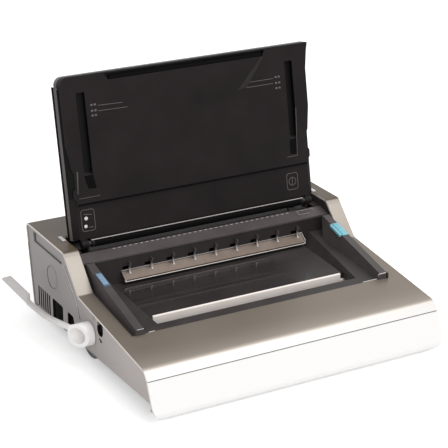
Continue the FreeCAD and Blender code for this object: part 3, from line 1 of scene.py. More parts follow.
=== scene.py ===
# %% [markdown]
# # Dressing a desk wire-binding machine
#
# The machine punches a row of square holes along the edge of a sheet and closes a double-loop wire.
# Its solids come from CAD and stay as they are. This lesson gives them a studio, paint, plastic and
# steel, and adds the small pieces that CAD leaves out: tick marks, rivets, pads, seals and trim. The
# lid also gets straight sides.
# All lengths are in metres, and +Z is up, -Y is the side where the user stands.

# %% Load the frame
import bpy
import bmesh
import math
from mathutils import Matrix, Vector


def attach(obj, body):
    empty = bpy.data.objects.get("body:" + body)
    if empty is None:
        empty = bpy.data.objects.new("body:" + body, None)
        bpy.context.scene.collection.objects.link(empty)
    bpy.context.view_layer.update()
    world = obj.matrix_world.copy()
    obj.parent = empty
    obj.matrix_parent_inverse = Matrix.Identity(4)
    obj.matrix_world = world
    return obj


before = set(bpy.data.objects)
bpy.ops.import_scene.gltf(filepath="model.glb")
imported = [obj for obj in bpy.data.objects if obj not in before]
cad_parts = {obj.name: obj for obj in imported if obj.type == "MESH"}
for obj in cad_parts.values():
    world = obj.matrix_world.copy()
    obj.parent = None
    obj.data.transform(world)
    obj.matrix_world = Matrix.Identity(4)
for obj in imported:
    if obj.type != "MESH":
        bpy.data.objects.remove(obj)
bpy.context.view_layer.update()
MM = 0.001
print("nodes from CAD:", len(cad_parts))

# %% [markdown]
# ## Two rulers
#
# The case is easiest to describe from its own middle plane, and the lid from its own lower edge, along
# its leaning face. Two matrices turn such millimetres into metres in the frame: `CASE_AT` for the case,
# where z is the height over the table, and `LID_MM` for the lid, where y goes into the lid and z up its
# face. `LID_AT` is the lid's ruler in metres, which a material needs.

# %% Case and lid rulers
CASE_SHIFT = Matrix.Translation((21.8795, -5.7962, 0.0))
CASE_AT = Matrix.Scale(MM, 4) @ CASE_SHIFT
LID_LEAN = Matrix.Rotation(math.radians(-10.6), 4, "X")
LID_FOOT = Vector((0.0, 90.5, 120.3))
LID_AT = Matrix.Translation(CASE_AT @ LID_FOOT) @ LID_LEAN
LID_MM = LID_AT @ Matrix.Scale(MM, 4)
print("the lid's lower edge is at", tuple(round(c, 4) for c in LID_AT.translation))

# %% [markdown]
# ## One way to write a material
#
# A finish is a small tree of nodes. Built by hand in the editor, such a tree soon becomes a tangle, so
# here a socket is wrapped in a class that knows plus and times. An expression such as
# `mask * 0.3 + 0.1` then adds its own Math nodes. Every other node comes from one method, `node`.


# %% Wrap a socket
class Signal:
    """One output of a node, with arithmetic."""

    def __init__(self, finish, socket):
        self.finish = finish
        self.socket = socket

    def calculate(self, operation, *values):
        return self.finish.node("ShaderNodeMath", {"operation": operation}, dict(enumerate(values)))

    def __add__(self, other):
        return self.calculate("ADD", self, other)

    def __mul__(self, other):
        return self.calculate("MULTIPLY", self, other)

    def above(self, limit):
        return self.calculate("GREATER_THAN", self, limit)

    def within(self, low, high):
        """1 between two limits, 0 outside them."""
        return self.above(low) * (self * -1.0).above(-high)


print("a Signal adds, multiplies and compares")

# %% [markdown]
# ## The finish
#
# `Finish` holds the tree. It starts with the Principled shader, which describes paint, plastic and
# metal with the same few values. Values that are the same all over the surface go straight into the
# shader's sockets, and only what varies is linked.


# %% The finish class
class Finish:
    """A material with a Principled shader and helpers for its pattern nodes."""

    def __init__(self, name, **constants):
        self.material = bpy.data.materials.new(name)
        self.material.use_nodes = True
        self.tree = self.material.node_tree
        self.shader = self.tree.nodes["Principled BSDF"]
        self.place = self.node("ShaderNodeTexCoord", out="Object")
        for socket, number in constants.items():
            self.shader.inputs[socket.replace("_", " ")].default_value = number

    def node(self, kind, settings=None, sockets=None, out=0):
        """Add a node, set its properties first and its sockets after, and give back one output."""
        made = self.tree.nodes.new(kind)
        for key, setting in (settings or {}).items():
            if key == "stops":
                ramp = made.color_ramp
                ramp.elements[0].position, ramp.elements[0].color = setting[0]
                ramp.elements[1].position, ramp.elements[1].color = setting[-1]
                for position, colour in setting[1:-1]:
                    ramp.elements.new(position).color = colour
            else:
                setattr(made, key, setting)
        for key, given in (sockets or {}).items():
            if isinstance(given, Signal):
                self.tree.links.new(given.socket, made.inputs[key])
            else:
                made.inputs[key].default_value = given
        return Signal(self, made.outputs[out])

    def noise(self, scale, detail=2.0, roughness=0.5, stretch=(1, 1, 1), out=0):
        """Noise with so many grains to a metre; stretch makes grains shorter along an axis."""
        placed = self.node("ShaderNodeMapping", None, {"Vector": self.place, "Scale": stretch})
        return self.node("ShaderNodeTexNoise", None, {"Vector": placed, "Scale": scale, "Detail": detail,
                                                      "Roughness": roughness}, out)

    def blend(self, mask, low, high):
        """A colour that goes from low to high as the mask goes from 0 to 1."""
        return self.node("ShaderNodeMix", {"data_type": "RGBA"}, {0: mask, 6: low, 7: high}, 2)

    def fit(self, signal, low, high, to_low=0.0, to_high=1.0):
        """Map one range of numbers on another and keep it inside."""
        return self.node("ShaderNodeMapRange", None, {0: signal, 1: low, 2: high, 3: to_low, 4: to_high})

    def spread(self, grains, to_low=0.0, to_high=1.0):
        """Map the range that a noise mostly fills on another one."""
        return self.fit(grains, 0.3, 0.7, to_low, to_high)

    def axis(self, name, kind="Object"):
        """One coordinate of the place on the piece, or of its normal."""
        source = self.place if kind == "Object" else self.node("ShaderNodeTexCoord", out=kind)
        return self.node("ShaderNodeSeparateXYZ", None, {0: source}, "XYZ".index(name))

    def side_faces(self):
        """1 on faces that look along X, either way."""
        across = self.axis("X", "Normal")
        return (across * across).above(0.6)

    def edges(self, radius):
        """0 on flat faces, up to 1 where a sharp edge is nearer than the radius."""
        soft = self.node("ShaderNodeBevel", {"samples": 4}, {"Radius": radius})
        true = self.node("ShaderNodeNewGeometry", out="Normal")
        agreement = self.node("ShaderNodeVectorMath", {"operation": "DOT_PRODUCT"}, {0: soft, 1: true},
                              "Value")
        return self.fit(agreement, 0.995, 0.85)

    def surface(self, colour=None, roughness=None, height=None, depth=0.00005, rounding=0.0004):
        """Link what varies. Height is a bump on top of slightly rounded edges."""
        if colour is not None:
            self.tree.links.new(colour.socket, self.shader.inputs["Base Color"])
        if roughness is not None:
            self.tree.links.new(roughness.socket, self.shader.inputs["Roughness"])
        normal = self.node("ShaderNodeBevel", {"samples": 4}, {"Radius": rounding})
        if height is not None:
            normal = self.node("ShaderNodeBump", None, {"Strength": 1.0, "Distance": depth, "Height": height,
                                                        "Normal": normal})
        self.tree.links.new(normal.socket, self.shader.inputs["Normal"])
        return self.material


def grey(level, warmth=0.0):
    """A grey with its red lifted and its blue lowered by warmth."""
    return (level * (1 + warmth), level, level * (1 - warmth), 1.0)


print("a Finish has noise, blend, fit, edges and surface")

# %% [markdown]
# ## Champagne paint on the shell
#
# The upper shell and the back are plastic under a satin metallic paint. Metallic paint is
# fine flakes in a clear binder: the colour is darker where it is seen flat and brighter where a lamp
# meets it. A moderate Metallic value with a soft roughness does that. A very fine noise stands for the
# flakes, and edges are a little paler where hands rub them.
#
# The colour itself fades: the decks are a brownish champagne, and what faces up above the rear height is
# darker still. What faces the user, and the deck next to the front bend, is painted paler up to nearly
# white, a painted highlight where the rolled front meets the lamp. The object's own normal gives that
# fade, so it stays on the piece. The cut edges of the shell, which face sideways, are painted pale too, a
# painted highlight that shows as a fine line beside the end panels.


# %% Paints
PAINT_BUMP = (0.000012, 0.0006)  # depth of the flakes and rounding of the edges, in metres
COVER_METALLIC = 0.35
# BEND_TOP splits the painted highlight on what faces the user.
BEND_TOP = 0.0875  # what faces the user is white below this height and paler champagne above it
REAR_TOP = 0.128  # what faces up is darker above this height


def metallic_paint(name, colour, pale, metallic, roughness):
    paint = Finish(name, Metallic=metallic)
    flakes = paint.noise(5200.0, 1.0)
    clouds = paint.noise(14.0, 3.0)
    worn = paint.edges(0.0007)
    mask = paint.fit(flakes, 0.35, 0.65) * 0.10 + clouds * 0.06 + worn * 0.30
    tint = paint.blend(mask, colour, pale)
    rough = paint.spread(clouds, roughness - 0.03, roughness + 0.04)
    return paint, tint, rough, flakes


def cover_paint():
    """Champagne above; painted highlights make the ramp pale, the front bend white and the cut edge pale."""
    paint, tint, rough, flakes = metallic_paint("champagne_paint", (0.205, 0.172, 0.140, 1),
                                                (0.40, 0.36, 0.32, 1), COVER_METALLIC, 0.36)
    height = paint.axis("Z")
    # A painted highlight makes the deck paler next to the front bend.
    bend_highlight = paint.fit(paint.axis("Y"), -0.125, -0.178, 0.0, 1.0)
    tint = paint.blend(bend_highlight * bend_highlight, tint, (0.36, 0.32, 0.28, 1))
    facing = paint.fit(paint.axis("Y", "Normal") * -1.0, 0.42, 0.86)
    top = height.above(REAR_TOP) * (facing * -1.0 + 1.0)
    tint = paint.blend(top, tint, (0.092, 0.068, 0.045, 1))
    metallic = top * -COVER_METALLIC + COVER_METALLIC
    paint.tree.links.new(metallic.socket, paint.shader.inputs["Metallic"])
    paint.shader.inputs["Specular IOR Level"].default_value = 0.3
    # Painted highlight: what faces the user is white below BEND_TOP and paler champagne above it.
    front = paint.blend(height.above(BEND_TOP), (0.86, 0.85, 0.83, 1), (0.40, 0.365, 0.325, 1))
    tint = paint.blend(facing, tint, front)
    # Painted highlight: the sideways cut edges are pale.
    tint = paint.blend(paint.side_faces(), tint, (0.74, 0.68, 0.63, 1))
    return paint.surface(tint, rough, flakes, *PAINT_BUMP)


def panel_paint():
    """Silver that is paler towards the front, with painted shade on the walls inside its louvres and grips.
    """
    paint, tint, rough, flakes = metallic_paint("panel_silver_paint", (0.285, 0.262, 0.256, 1),
                                                (0.48, 0.45, 0.44, 1), 0.25, 0.42)
    tint = paint.blend(paint.fit(paint.axis("Y"), 0.09, -0.12), tint, (0.47, 0.425, 0.41, 1))
    # Painted shade: the walls inside the louvres and grips are nearly black.
    opening_shade = paint.axis("Z").within(0.014, 0.0685) * paint.axis("Y").within(-0.075, 0.180)
    tint = paint.blend(opening_shade * (paint.side_faces() * -1.0 + 1.0), tint, (0.004, 0.0035, 0.0035, 1))
    return paint.surface(tint, rough, flakes, *PAINT_BUMP)


def plain_paint(*values):
    paint, tint, rough, flakes = metallic_paint(*values)
    return paint.surface(tint, rough, flakes, *PAINT_BUMP)


champagne = cover_paint()
panel_silver = panel_paint()
rear_paint = plain_paint("rear_paint", (0.26, 0.235, 0.21, 1), (0.42, 0.39, 0.35, 1), 0.3, 0.4)
pale_silver = plain_paint("pale_silver_paint", (0.80, 0.79, 0.78, 1), (0.88, 0.88, 0.87, 1), 0.1, 0.34)
print("paints:", champagne.name, pale_silver.name, panel_silver.name)

# %% [markdown]
# ## Black plastics
#
# The lid's inside, the ledges and the arms are moulded with a fine grain that keeps them from looking
# wet. A noise at about a grain every half millimetre gives the bump, and a slow noise lets the gloss
# vary as handled plastic does. The inner deck is polished instead: the grain is gone, the roughness is
# low, and faint smears show where sheets slide.


# %% Plastics
def grained_plastic(name, colour, pale, roughness, grain=1900.0, depth=0.00004, sheen=0.5):
    plastic = Finish(name, Specular_IOR_Level=sheen)
    pits = plastic.noise(grain, 2.0, 0.6)
    slow = plastic.noise(22.0, 3.0)
    worn = plastic.edges(0.0006)
    tint = plastic.blend(plastic.spread(slow) * 0.25 + worn * 0.55, colour, pale)
    rough = plastic.spread(slow, roughness - 0.05, roughness + 0.05)
    return plastic.surface(tint, rough, pits, depth, 0.0005)


def fine_grained(name, colour, pale):
    """Plastic with a finer, flatter grain than the moulding, for print and for painted highlights in white.
    """
    return grained_plastic(name, colour, pale, 0.5, 2600.0, 0.00001)


black_grain = grained_plastic("black_grained_plastic", (0.023, 0.0185, 0.0190, 1),
                              (0.060, 0.050, 0.051, 1), 0.50, sheen=0.25)
arm_grain = grained_plastic("arm_plastic", (0.050, 0.042, 0.042, 1), (0.15, 0.132, 0.130, 1), 0.42,
                            sheen=0.35)
ledge_grain = grained_plastic("ledge_plastic", (0.029, 0.0245, 0.0245, 1), (0.09, 0.078, 0.076, 1), 0.45,
                              sheen=0.3)
lip_grain = grained_plastic("lip_plastic", (0.066, 0.053, 0.054, 1), (0.15, 0.13, 0.13, 1), 0.45,
                            sheen=0.4)
pan_grain = grained_plastic("pan_plastic", grey(0.02), grey(0.05), 0.6)
mark_grey = fine_grained("printed_grey", (0.30, 0.27, 0.27, 1), (0.42, 0.39, 0.39, 1))
faint_grey = fine_grained("faint_grey", (0.085, 0.074, 0.074, 1), (0.14, 0.12, 0.12, 1))
# This white is not print: it paints the highlights and glints on small pieces.
highlight_white = fine_grained("highlight_white_plastic", (0.62, 0.60, 0.59, 1), (0.80, 0.79, 0.78, 1))
tab_cyan = grained_plastic("cyan_tab_plastic", (0.17, 0.47, 0.56, 1), (0.36, 0.68, 0.78, 1), 0.35)
cyan_pad = grained_plastic("cyan_pad_plastic", (0.15, 0.45, 0.53, 1), (0.34, 0.66, 0.75, 1), 0.45)
# A paler blue than the left tab, for its pad: a painted highlight.
blue_pad_highlight = grained_plastic("blue_pad_highlight_plastic", (0.15, 0.25, 0.37, 1), (0.40, 0.52, 0.64, 1), 0.4)
tab_blue = grained_plastic("blue_tab_plastic", (0.045, 0.085, 0.15, 1), (0.14, 0.22, 0.32, 1), 0.38)
nylon = grained_plastic("gear_nylon", (0.68, 0.65, 0.58, 1), (0.8, 0.78, 0.72, 1), 0.45)
socket_black = grained_plastic("socket_plastic", grey(0.015), grey(0.05), 0.3)
deep_black = grained_plastic("deep_black_plastic", grey(0.0025), grey(0.006), 0.7, sheen=0.05)


def lever_finish():
    """Nearly white at the hub and greyer out on the paddle."""
    plastic = Finish("pale_lever_plastic")
    pits = plastic.noise(2600.0)
    out = plastic.fit(plastic.axis("Y"), 0.005, 0.09)
    tint = plastic.blend(plastic.edges(0.0006) * 0.5,
                         plastic.blend(out, (0.90, 0.885, 0.87, 1), (0.60, 0.575, 0.565, 1)),
                         (0.93, 0.92, 0.91, 1))
    return plastic.surface(tint, plastic.spread(pits, 0.34, 0.42), pits, 0.00001, 0.0005)


lever_plastic = lever_finish()
# A paler copy of the lid's black plastic for a fold at its upper right: a painted highlight.
fold_highlight_grain = grained_plastic("lid_fold_highlight_plastic", (0.013, 0.0105, 0.0108, 1), (0.030, 0.025, 0.025, 1), 0.5,
                             sheen=0.2)
# A paler copy of the lid's black plastic for the lid's side walls: a painted highlight.
lit_wall_grain = grained_plastic("lid_wall_highlight_plastic", (0.105, 0.095, 0.093, 1), (0.15, 0.138, 0.135, 1), 0.5,
                             sheen=0.25)
frame_coat = grained_plastic("frame_coating", (0.010, 0.0085, 0.0085, 1), (0.024, 0.021, 0.021, 1), 0.55,
                             sheen=0.12)


def lid_inside():
    """Grained plastic that is nearly black in the deep slots, where little light comes."""
    plastic = Finish("lid_inside_plastic", Specular_IOR_Level=0.13)
    pits = plastic.noise(1900.0, 2.0, 0.6)
    slow = plastic.noise(18.0, 3.0)
    worn = plastic.edges(0.0006)
    tint = plastic.blend(plastic.spread(slow) * 0.25 + worn * 0.6, (0.0075, 0.0054, 0.0058, 1),
                         (0.032, 0.025, 0.026, 1))
    upright = LID_AT.inverted()
    deep = (plastic.axis("X") * upright[1][0] + plastic.axis("Y") * upright[1][1]
            + plastic.axis("Z") * upright[1][2])
    high = plastic.axis("Y") * upright[2][1] + plastic.axis("Z") * upright[2][2] + upright[2][3]
    # Deeper than the face, and above the low block, there are only the slots.
    slot = plastic.fit(deep + upright[1][3], 0.0008, 0.0035) * high.above(0.075)
    tint = plastic.blend(slot, tint, (0.0022, 0.0018, 0.0018, 1))
    return plastic.surface(tint, plastic.spread(slow, 0.46, 0.56), pits, 0.00004, 0.0005)


lid_grain = lid_inside()
tick_grey = fine_grained("tick_print", (0.42, 0.37, 0.37, 1), (0.55, 0.50, 0.50, 1))


SMEARS = (9.0, 4.0, 0.6, (1.0, 3.0, 1.0))  # grains to a metre, detail, roughness, stretch
SMEAR_RANGE = (0.35, 0.75)
DECK_COAT = 0.55


def polished_plastic(name, colour, pale, roughness):
    plastic = Finish(name, Coat_Weight=0.25, Coat_Roughness=0.05, Specular_IOR_Level=0.35)
    smears = plastic.noise(*SMEARS)
    tint = plastic.blend(plastic.fit(smears, *SMEAR_RANGE), colour, pale)
    rough = plastic.fit(smears, *SMEAR_RANGE, roughness, roughness + 0.09)
    return plastic.surface(tint, rough, smears, 0.00002, 0.0004)


def deck_finish():
    """The deck is polished, and duller at the right, where hands rest."""
    plastic = Finish("polished_deck_plastic", Coat_Roughness=0.05, Specular_IOR_Level=0.35)
    smears = plastic.noise(*SMEARS)
    dull = plastic.fit(plastic.axis("X"), 0.085, 0.135)
    tint = plastic.blend(plastic.fit(smears, *SMEAR_RANGE), (0.028, 0.024, 0.024, 1),
                         (0.050, 0.043, 0.043, 1))
    coat = dull * -DECK_COAT + DECK_COAT
    plastic.tree.links.new(coat.socket, plastic.shader.inputs["Coat Weight"])
    rough = plastic.fit(smears, *SMEAR_RANGE, 0.07, 0.16) + dull * 0.45
    return plastic.surface(tint, rough, smears, 0.00002, 0.0004)


deck_gloss = deck_finish()
lid_gloss = polished_plastic("lid_outside_plastic", (0.010, 0.0085, 0.0085, 1),
                             (0.022, 0.019, 0.019, 1), 0.28)
rocker_gloss = polished_plastic("rocker_plastic", grey(0.012), grey(0.03), 0.15)
print("plastics ready")

# %% [markdown]
# ## Steel, brass, rubber and the rest
#
# Ground steel is streaked along the grinding direction, here X, so its noise is stretched by using a
# small scale along X and a large one across it. Coated steel is nearly black with a soft sheen. Brass,
# zinc and rubber differ in colour, metal and roughness.


# %% Metals and rubber
NO_STREAK = (1, 1, 1)


def ground_metal(name, colour, pale, roughness, streak=(0.04, 1.0, 1.0), metallic=1.0):
    metal = Finish(name, Metallic=metallic)
    lines = metal.noise(2400.0, 2.0, 0.6, streak)
    stain = metal.noise(30.0, 3.0)
    tint = metal.blend(metal.spread(lines) * 0.6 + metal.fit(stain, 0.4, 0.8) * 0.4, colour, pale)
    rough = metal.spread(lines, roughness - 0.06, roughness + 0.08)
    return metal.surface(tint, rough, lines, 0.000015, 0.0003)


steel = ground_metal("ground_steel", grey(0.50, 0.03), grey(0.68, 0.02), 0.30)
dark_steel = ground_metal("blackened_steel", grey(0.035, 0.03), grey(0.07, 0.02), 0.38)
# Pale steel for the stand's edges: a painted highlight.
edge_highlight_steel = ground_metal("stand_edge_highlight", (0.62, 0.56, 0.53, 1), (0.80, 0.76, 0.74, 1), 0.4,
                          NO_STREAK, 0.2)
# Pale steel for the lid's bead: a painted highlight.
bead_highlight_steel = ground_metal("lid_bead_highlight", (0.36, 0.33, 0.32, 1), (0.52, 0.49, 0.48, 1), 0.42,
                          NO_STREAK, 0.2)
# The closing bar is near white and not metallic: a painted highlight on its face in the recess's shade.
bar_highlight_steel = ground_metal("closer_bar_highlight", (0.90, 0.80, 0.74, 1), (1.0, 0.94, 0.90, 1), 0.5, metallic=0.0)
stand_steel = ground_metal("stand_steel", (0.085, 0.066, 0.054, 1), (0.19, 0.155, 0.135, 1), 0.5)
brass = ground_metal("bush_brass", (0.62, 0.44, 0.20, 1), (0.75, 0.58, 0.30, 1), 0.32)
zinc = ground_metal("zinc_plate", grey(0.42, -0.02), grey(0.58, -0.02), 0.38, NO_STREAK)
coated_steel = grained_plastic("coated_steel", grey(0.035), grey(0.10), 0.4, 900.0, 0.00003)
rubber = grained_plastic("foot_rubber", grey(0.016), grey(0.03), 0.85, 1400.0, 0.00008)


def hook_finish():
    """Bright at the foot and darker towards the tip, a painted shade."""
    metal = Finish("hook_steel", Metallic=0.2)
    fine = metal.noise(900.0)
    foot = metal.blend(fine, (0.60, 0.54, 0.51, 1), (0.80, 0.75, 0.72, 1))
    # Painted shade: the colour darkens from the foot up to the tip.
    tint = metal.blend(metal.fit(metal.axis("Z"), 0.0915, 0.0985), foot, (0.10, 0.088, 0.086, 1))
    return metal.surface(tint, metal.spread(fine, 0.35, 0.48), fine, 0.00001, 0.0002)


hook_steel = hook_finish()


def circuit_board():
    board = Finish("board_lacquer")
    tracks = board.node("ShaderNodeTexBrick", {"offset": 0.5}, {
        "Vector": board.place, "Color1": (0.02, 0.13, 0.05, 1), "Color2": (0.03, 0.17, 0.07, 1),
        "Mortar": (0.10, 0.33, 0.14, 1), "Scale": 95.0, "Mortar Size": 0.03})
    speckle = board.noise(700.0, 2.0)
    return board.surface(tracks, board.spread(speckle, 0.3, 0.42), speckle, 0.00002, 0.0003)


board_green = circuit_board()
print("metals ready")

# %% [markdown]
# ## Give each CAD node its finish
#
# A CAD mesh is loose triangles. A Weld modifier joins them, and after that smooth shading works, with
# an Edge Split modifier that keeps edges sharper than 30 degrees crisp. The mesh itself isn't touched.

# %% Finish for each node
NODE_FINISH = {
    champagne: ["top_cowl"],
    rear_paint: ["rear_cover"],
    pale_silver: ["front_fascia"],
    panel_silver: ["left_side_panel", "right_side_panel"],
    lid_grain: ["lid_liner"],
    lid_gloss: ["lid_shell"],
    black_grain: ["throat_wall", "throat_plate", "sheet_stop", "edge_guide"],
    ledge_grain: ["deck_surround"],
    lip_grain: ["throat_lip"],
    arm_grain: ["left_arm", "right_arm"],
    pan_grain: ["base_pan", "grip_cup", "waste_drawer"],
    deck_gloss: ["inner_deck"],
    rocker_gloss: ["power_rocker"],
    socket_black: ["mains_inlet", "power_switch", "size_dial"],
    lever_plastic: ["closing_lever"],
    tab_cyan: ["right_tab"],
    tab_blue: ["left_tab"],
    nylon: ["drive_gear"],
    steel: ["tie_rods", "punch_shaft", "punch_cams", "motor_pinion", "guide_rods", "punch_pins",
            "closer_cams", "closer_shaft", "foot_screws", "rear_screws"],
    dark_steel: ["die_plate", "punch_guide", "lid_hinge_pins"],
    hook_steel: ["wire_hooks"],
    bar_highlight_steel: ["closer_bar"],
    stand_steel: ["wire_stand"],
    brass: ["closer_bushes", "punch_bushes"],
    zinc: ["motor"],
    frame_coat: ["left_frame", "right_frame"],
    coated_steel: ["punch_beam", "closer_anvil", "closer_carriage"],
    rubber: ["rubber_feet"],
    board_green: ["control_board"],
}
WELD_GAP = 0.000005
SHARP_ANGLE = math.radians(30)


def smooth_cad(thing):
    """Weld and split in modifiers only, so that round faces shade smoothly."""
    thing.data.polygons.foreach_set("use_smooth", [True] * len(thing.data.polygons))
    weld = thing.modifiers.new("weld", "WELD")
    weld.merge_threshold = WELD_GAP
    split = thing.modifiers.new("split", "EDGE_SPLIT")
    split.split_angle = SHARP_ANGLE


dressed = set()
for finish, names in NODE_FINISH.items():
    for name in names:
        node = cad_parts[name]
        node.data.materials.clear()
        node.data.materials.append(finish)
        smooth_cad(node)
        dressed.add(name)
print("left bare:", sorted(set(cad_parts) - dressed))

# %% [markdown]
# ## A workbench for small pieces
#
# The pieces that CAD leaves out are bars, plates, rings and rows of them. `Workpiece` collects them in
# one bmesh, in millimetres on one of the two rulers. Each shape comes from a bmesh operator, and the
# edges of a bar are broken by a small bevel, because a perfectly sharp edge never catches the light.


# %% The workbench
class Workpiece:
    """A mesh under construction, in millimetres on a ruler."""

    def __init__(self, ruler=CASE_AT):
        self.mesh = bmesh.new()
        self.ruler = ruler

    def soften(self, verts, bevel):
        edges = {edge for vert in verts for edge in vert.link_edges}
        bmesh.ops.bevel(self.mesh, geom=list(edges), offset=bevel, segments=2, profile=0.5, affect="EDGES",
                        material=-1)

    def bar(self, middle, size, bevel=0.15, turn=None):
        """A bar about its middle, turned by an angle in degrees about an axis."""
        at = Matrix.Translation(middle)
        if turn is not None:
            at = at @ Matrix.Rotation(math.radians(turn[0]), 4, turn[1])
        made = bmesh.ops.create_cube(self.mesh, size=1.0, matrix=at @ Matrix.Diagonal((*size, 1.0)))
        self.soften(made["verts"], bevel)
        return self

    def stroke(self, start, end, wide, low, high):
        """A raised line on the ruler's XZ plane, from y low to y high."""
        run = Vector((end[0] - start[0], 0.0, end[1] - start[1]))
        middle = ((start[0] + end[0]) / 2, (low + high) / 2, (start[1] + end[1]) / 2)
        angle = math.degrees(math.atan2(run.z, run.x))
        return self.bar(middle, (run.length, high - low, wide), min(wide, high - low) * 0.3, (-angle, "Y"))

    def plate(self, corners, low, high, rounding=0.0, line=0.0):
        """A plate on the XZ plane with rounded corners; with a line width it is only its own border."""
        known = set(self.mesh.faces)
        face = self.mesh.faces.new([self.mesh.verts.new((x, low, z)) for x, z in corners])
        if rounding:
            bmesh.ops.bevel(self.mesh, geom=face.verts[:], offset=rounding, segments=5, profile=0.5,
                            affect="VERTICES", material=-1)
            face = next(made for made in self.mesh.faces if made not in known)
        faces = [face]
        if line:
            faces = bmesh.ops.inset_region(self.mesh, faces=[face], thickness=line, use_even_offset=True,
                                           use_boundary=True)["faces"]
            bmesh.ops.delete(self.mesh, geom=[face], context="FACES_ONLY")
        grown = bmesh.ops.extrude_face_region(self.mesh, geom=faces, use_keep_orig=True)["geom"]
        bmesh.ops.translate(self.mesh, vec=(0.0, high - low, 0.0),
                            verts=[part for part in grown if isinstance(part, bmesh.types.BMVert)])
        return self

    def turned(self, profile, centre, axis="X", segments=32):
        """A lathed piece: profile points are (radius, place along the axis)."""
        along = Vector([1.0 if name == axis else 0.0 for name in "XYZ"])
        across = Vector((0.0, 1.0, 0.0)) if axis != "Y" else Vector((0.0, 0.0, 1.0))
        centre = Vector(centre)
        chain = [self.mesh.verts.new(centre + along * step + across * radius) for radius, step in profile]
        edges = [self.mesh.edges.new(pair) for pair in zip(chain, chain[1:])]
        bmesh.ops.spin(self.mesh, geom=chain + edges, cent=centre, axis=along, angle=math.tau,
                       steps=segments, use_merge=True)
        bmesh.ops.remove_doubles(self.mesh, verts=self.mesh.verts[:], dist=0.0005)
        return self

    def row(self, count, step):
        """Copies of everything made so far, each one step further."""
        first = self.mesh.verts[:] + self.mesh.edges[:] + self.mesh.faces[:]
        for number in range(1, count):
            copy = bmesh.ops.duplicate(self.mesh, geom=first)["geom"]
            bmesh.ops.translate(self.mesh, vec=Vector(step) * number,
                                verts=[part for part in copy if isinstance(part, bmesh.types.BMVert)])
        return self

    def both_sides(self):
        """A mirrored twin on the other side of the middle plane."""
        bmesh.ops.mirror(self.mesh, geom=self.mesh.verts[:] + self.mesh.edges[:] + self.mesh.faces[:],
                         matrix=Matrix.Identity(4), axis="X", merge_dist=-1.0)
        return self

    def finish(self, name, material, body, slot):
        """Move it into the frame, name it and let it ride on its body."""
        bmesh.ops.transform(self.mesh, matrix=self.ruler, verts=self.mesh.verts)
        bmesh.ops.recalc_face_normals(self.mesh, faces=self.mesh.faces)
        data = bpy.data.meshes.new(name)
        self.mesh.to_mesh(data)
        self.mesh.free()
        data.materials.append(material)
        thing = bpy.data.objects.new(name, data)
        bpy.context.scene.collection.objects.link(thing)
        smooth_cad(thing)
        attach(thing, body)


print("a Workpiece makes bars, strokes, plates, turned shapes and rows")

# %% [markdown]
# ## On the lid
#
# The lid's inside carries sheet marks in print, two framed pictograms with white domes as painted
# highlights, low ribs beside the slots in a paler plastic that paints their highlight, and a pale bead
# along its low edge as a painted highlight. Black plates paint the shade in the slots' lower ends, under
# the low block's step and below the top edge, and a paler wedge paints the highlight of a fold. Its sides
# stand straight beside the waisted liner. The front face is at 0 on the lid's ruler, and the low block's
# face lies 3 mm behind it. The marks stand proud by a fifth of a millimetre or a little more.

# %% Lid pieces
# From where to where each kind of detail reaches, along y of the lid's ruler.
PRINT = (-0.2, 0.3)
BLOCK_PRINT = (2.7, 3.2)
RIB = (-0.7, 0.5)

marks = Workpiece(LID_MM)
for line in (((-139.0, 198.2), (-102.0, 197.1)), ((-140.0, 190.7), (-95.5, 189.9)),
             ((98.0, 197.0), (137.0, 197.0)), ((92.5, 190.0), (136.5, 190.0))):
    marks.stroke(*line, 0.7, *PRINT)
for x, z in ((-148.5, 200.0), (-148.5, 192.0), (-148.5, 185.6),
             (146.5, 198.5), (146.5, 190.0), (146.5, 182.5)):
    for shift in (0.0, -5.2 if x > 0 else 5.0):
        marks.stroke((x + shift - 1.6, z), (x + shift + 1.6, z), 2.6, *PRINT)
marks.finish("lid_sheet_marks", faint_grey, "lid", "black_plastic")

plates = Workpiece(LID_MM)
plates.plate([(-180.5, 28), (-160, 28), (-160, 58.5), (-180.5, 58.5)], *BLOCK_PRINT, 4.0, 0.8)
plates.plate([(147.5, 30), (166.5, 30), (166.5, 55), (147.5, 55)], *BLOCK_PRINT, 4.0, 0.8)
plates.turned([(6.2, 3.2), (6.2, 2.7), (5.3, 2.7), (5.3, 3.2)], (157.0, 0.0, 42.5), "Y")
plates.stroke((157.0, 37.5), (157.0, 47.5), 0.9, *BLOCK_PRINT)
plates.stroke((-176.0, 52.0), (-164.0, 50.5), 0.9, *BLOCK_PRINT)
plates.stroke((-170.0, 33.0), (-163.0, 33.0), 0.9, *BLOCK_PRINT)
plates.finish("lid_pictogram_frames", faint_grey, "lid", "black_plastic")

# White domes paint the glints on the embossed pictogram: painted highlights.
dots = Workpiece(LID_MM)
for x, z, radius in ((-174.5, 35.0, 2.4), (-173.0, 46.0, 2.6)):
    dots.turned([(0.0, 2.2), (radius * 0.6, 2.3), (radius, 2.7), (radius, 3.2)], (x, 0.0, z), "Y")
dots.finish("lid_pictogram_glints", highlight_white, "lid", "black_plastic")

# The ribs take the arms' paler plastic: a painted highlight on them.
ribs = Workpiece(LID_MM)
ribs.stroke((170.6, 150.0), (167.0, 80.0), 1.0, *RIB).stroke((167.3, 79.8), (150.0, 79.8), 1.0, *RIB)
ribs.stroke((-182.2, 81.5), (-179.8, 112.7), 1.8, *RIB)
ribs.stroke((-181.5, 75.0), (-150.0, 75.0), 0.9, -0.5, 0.5)
ribs.finish("lid_ribs", arm_grain, "lid", "black_plastic")

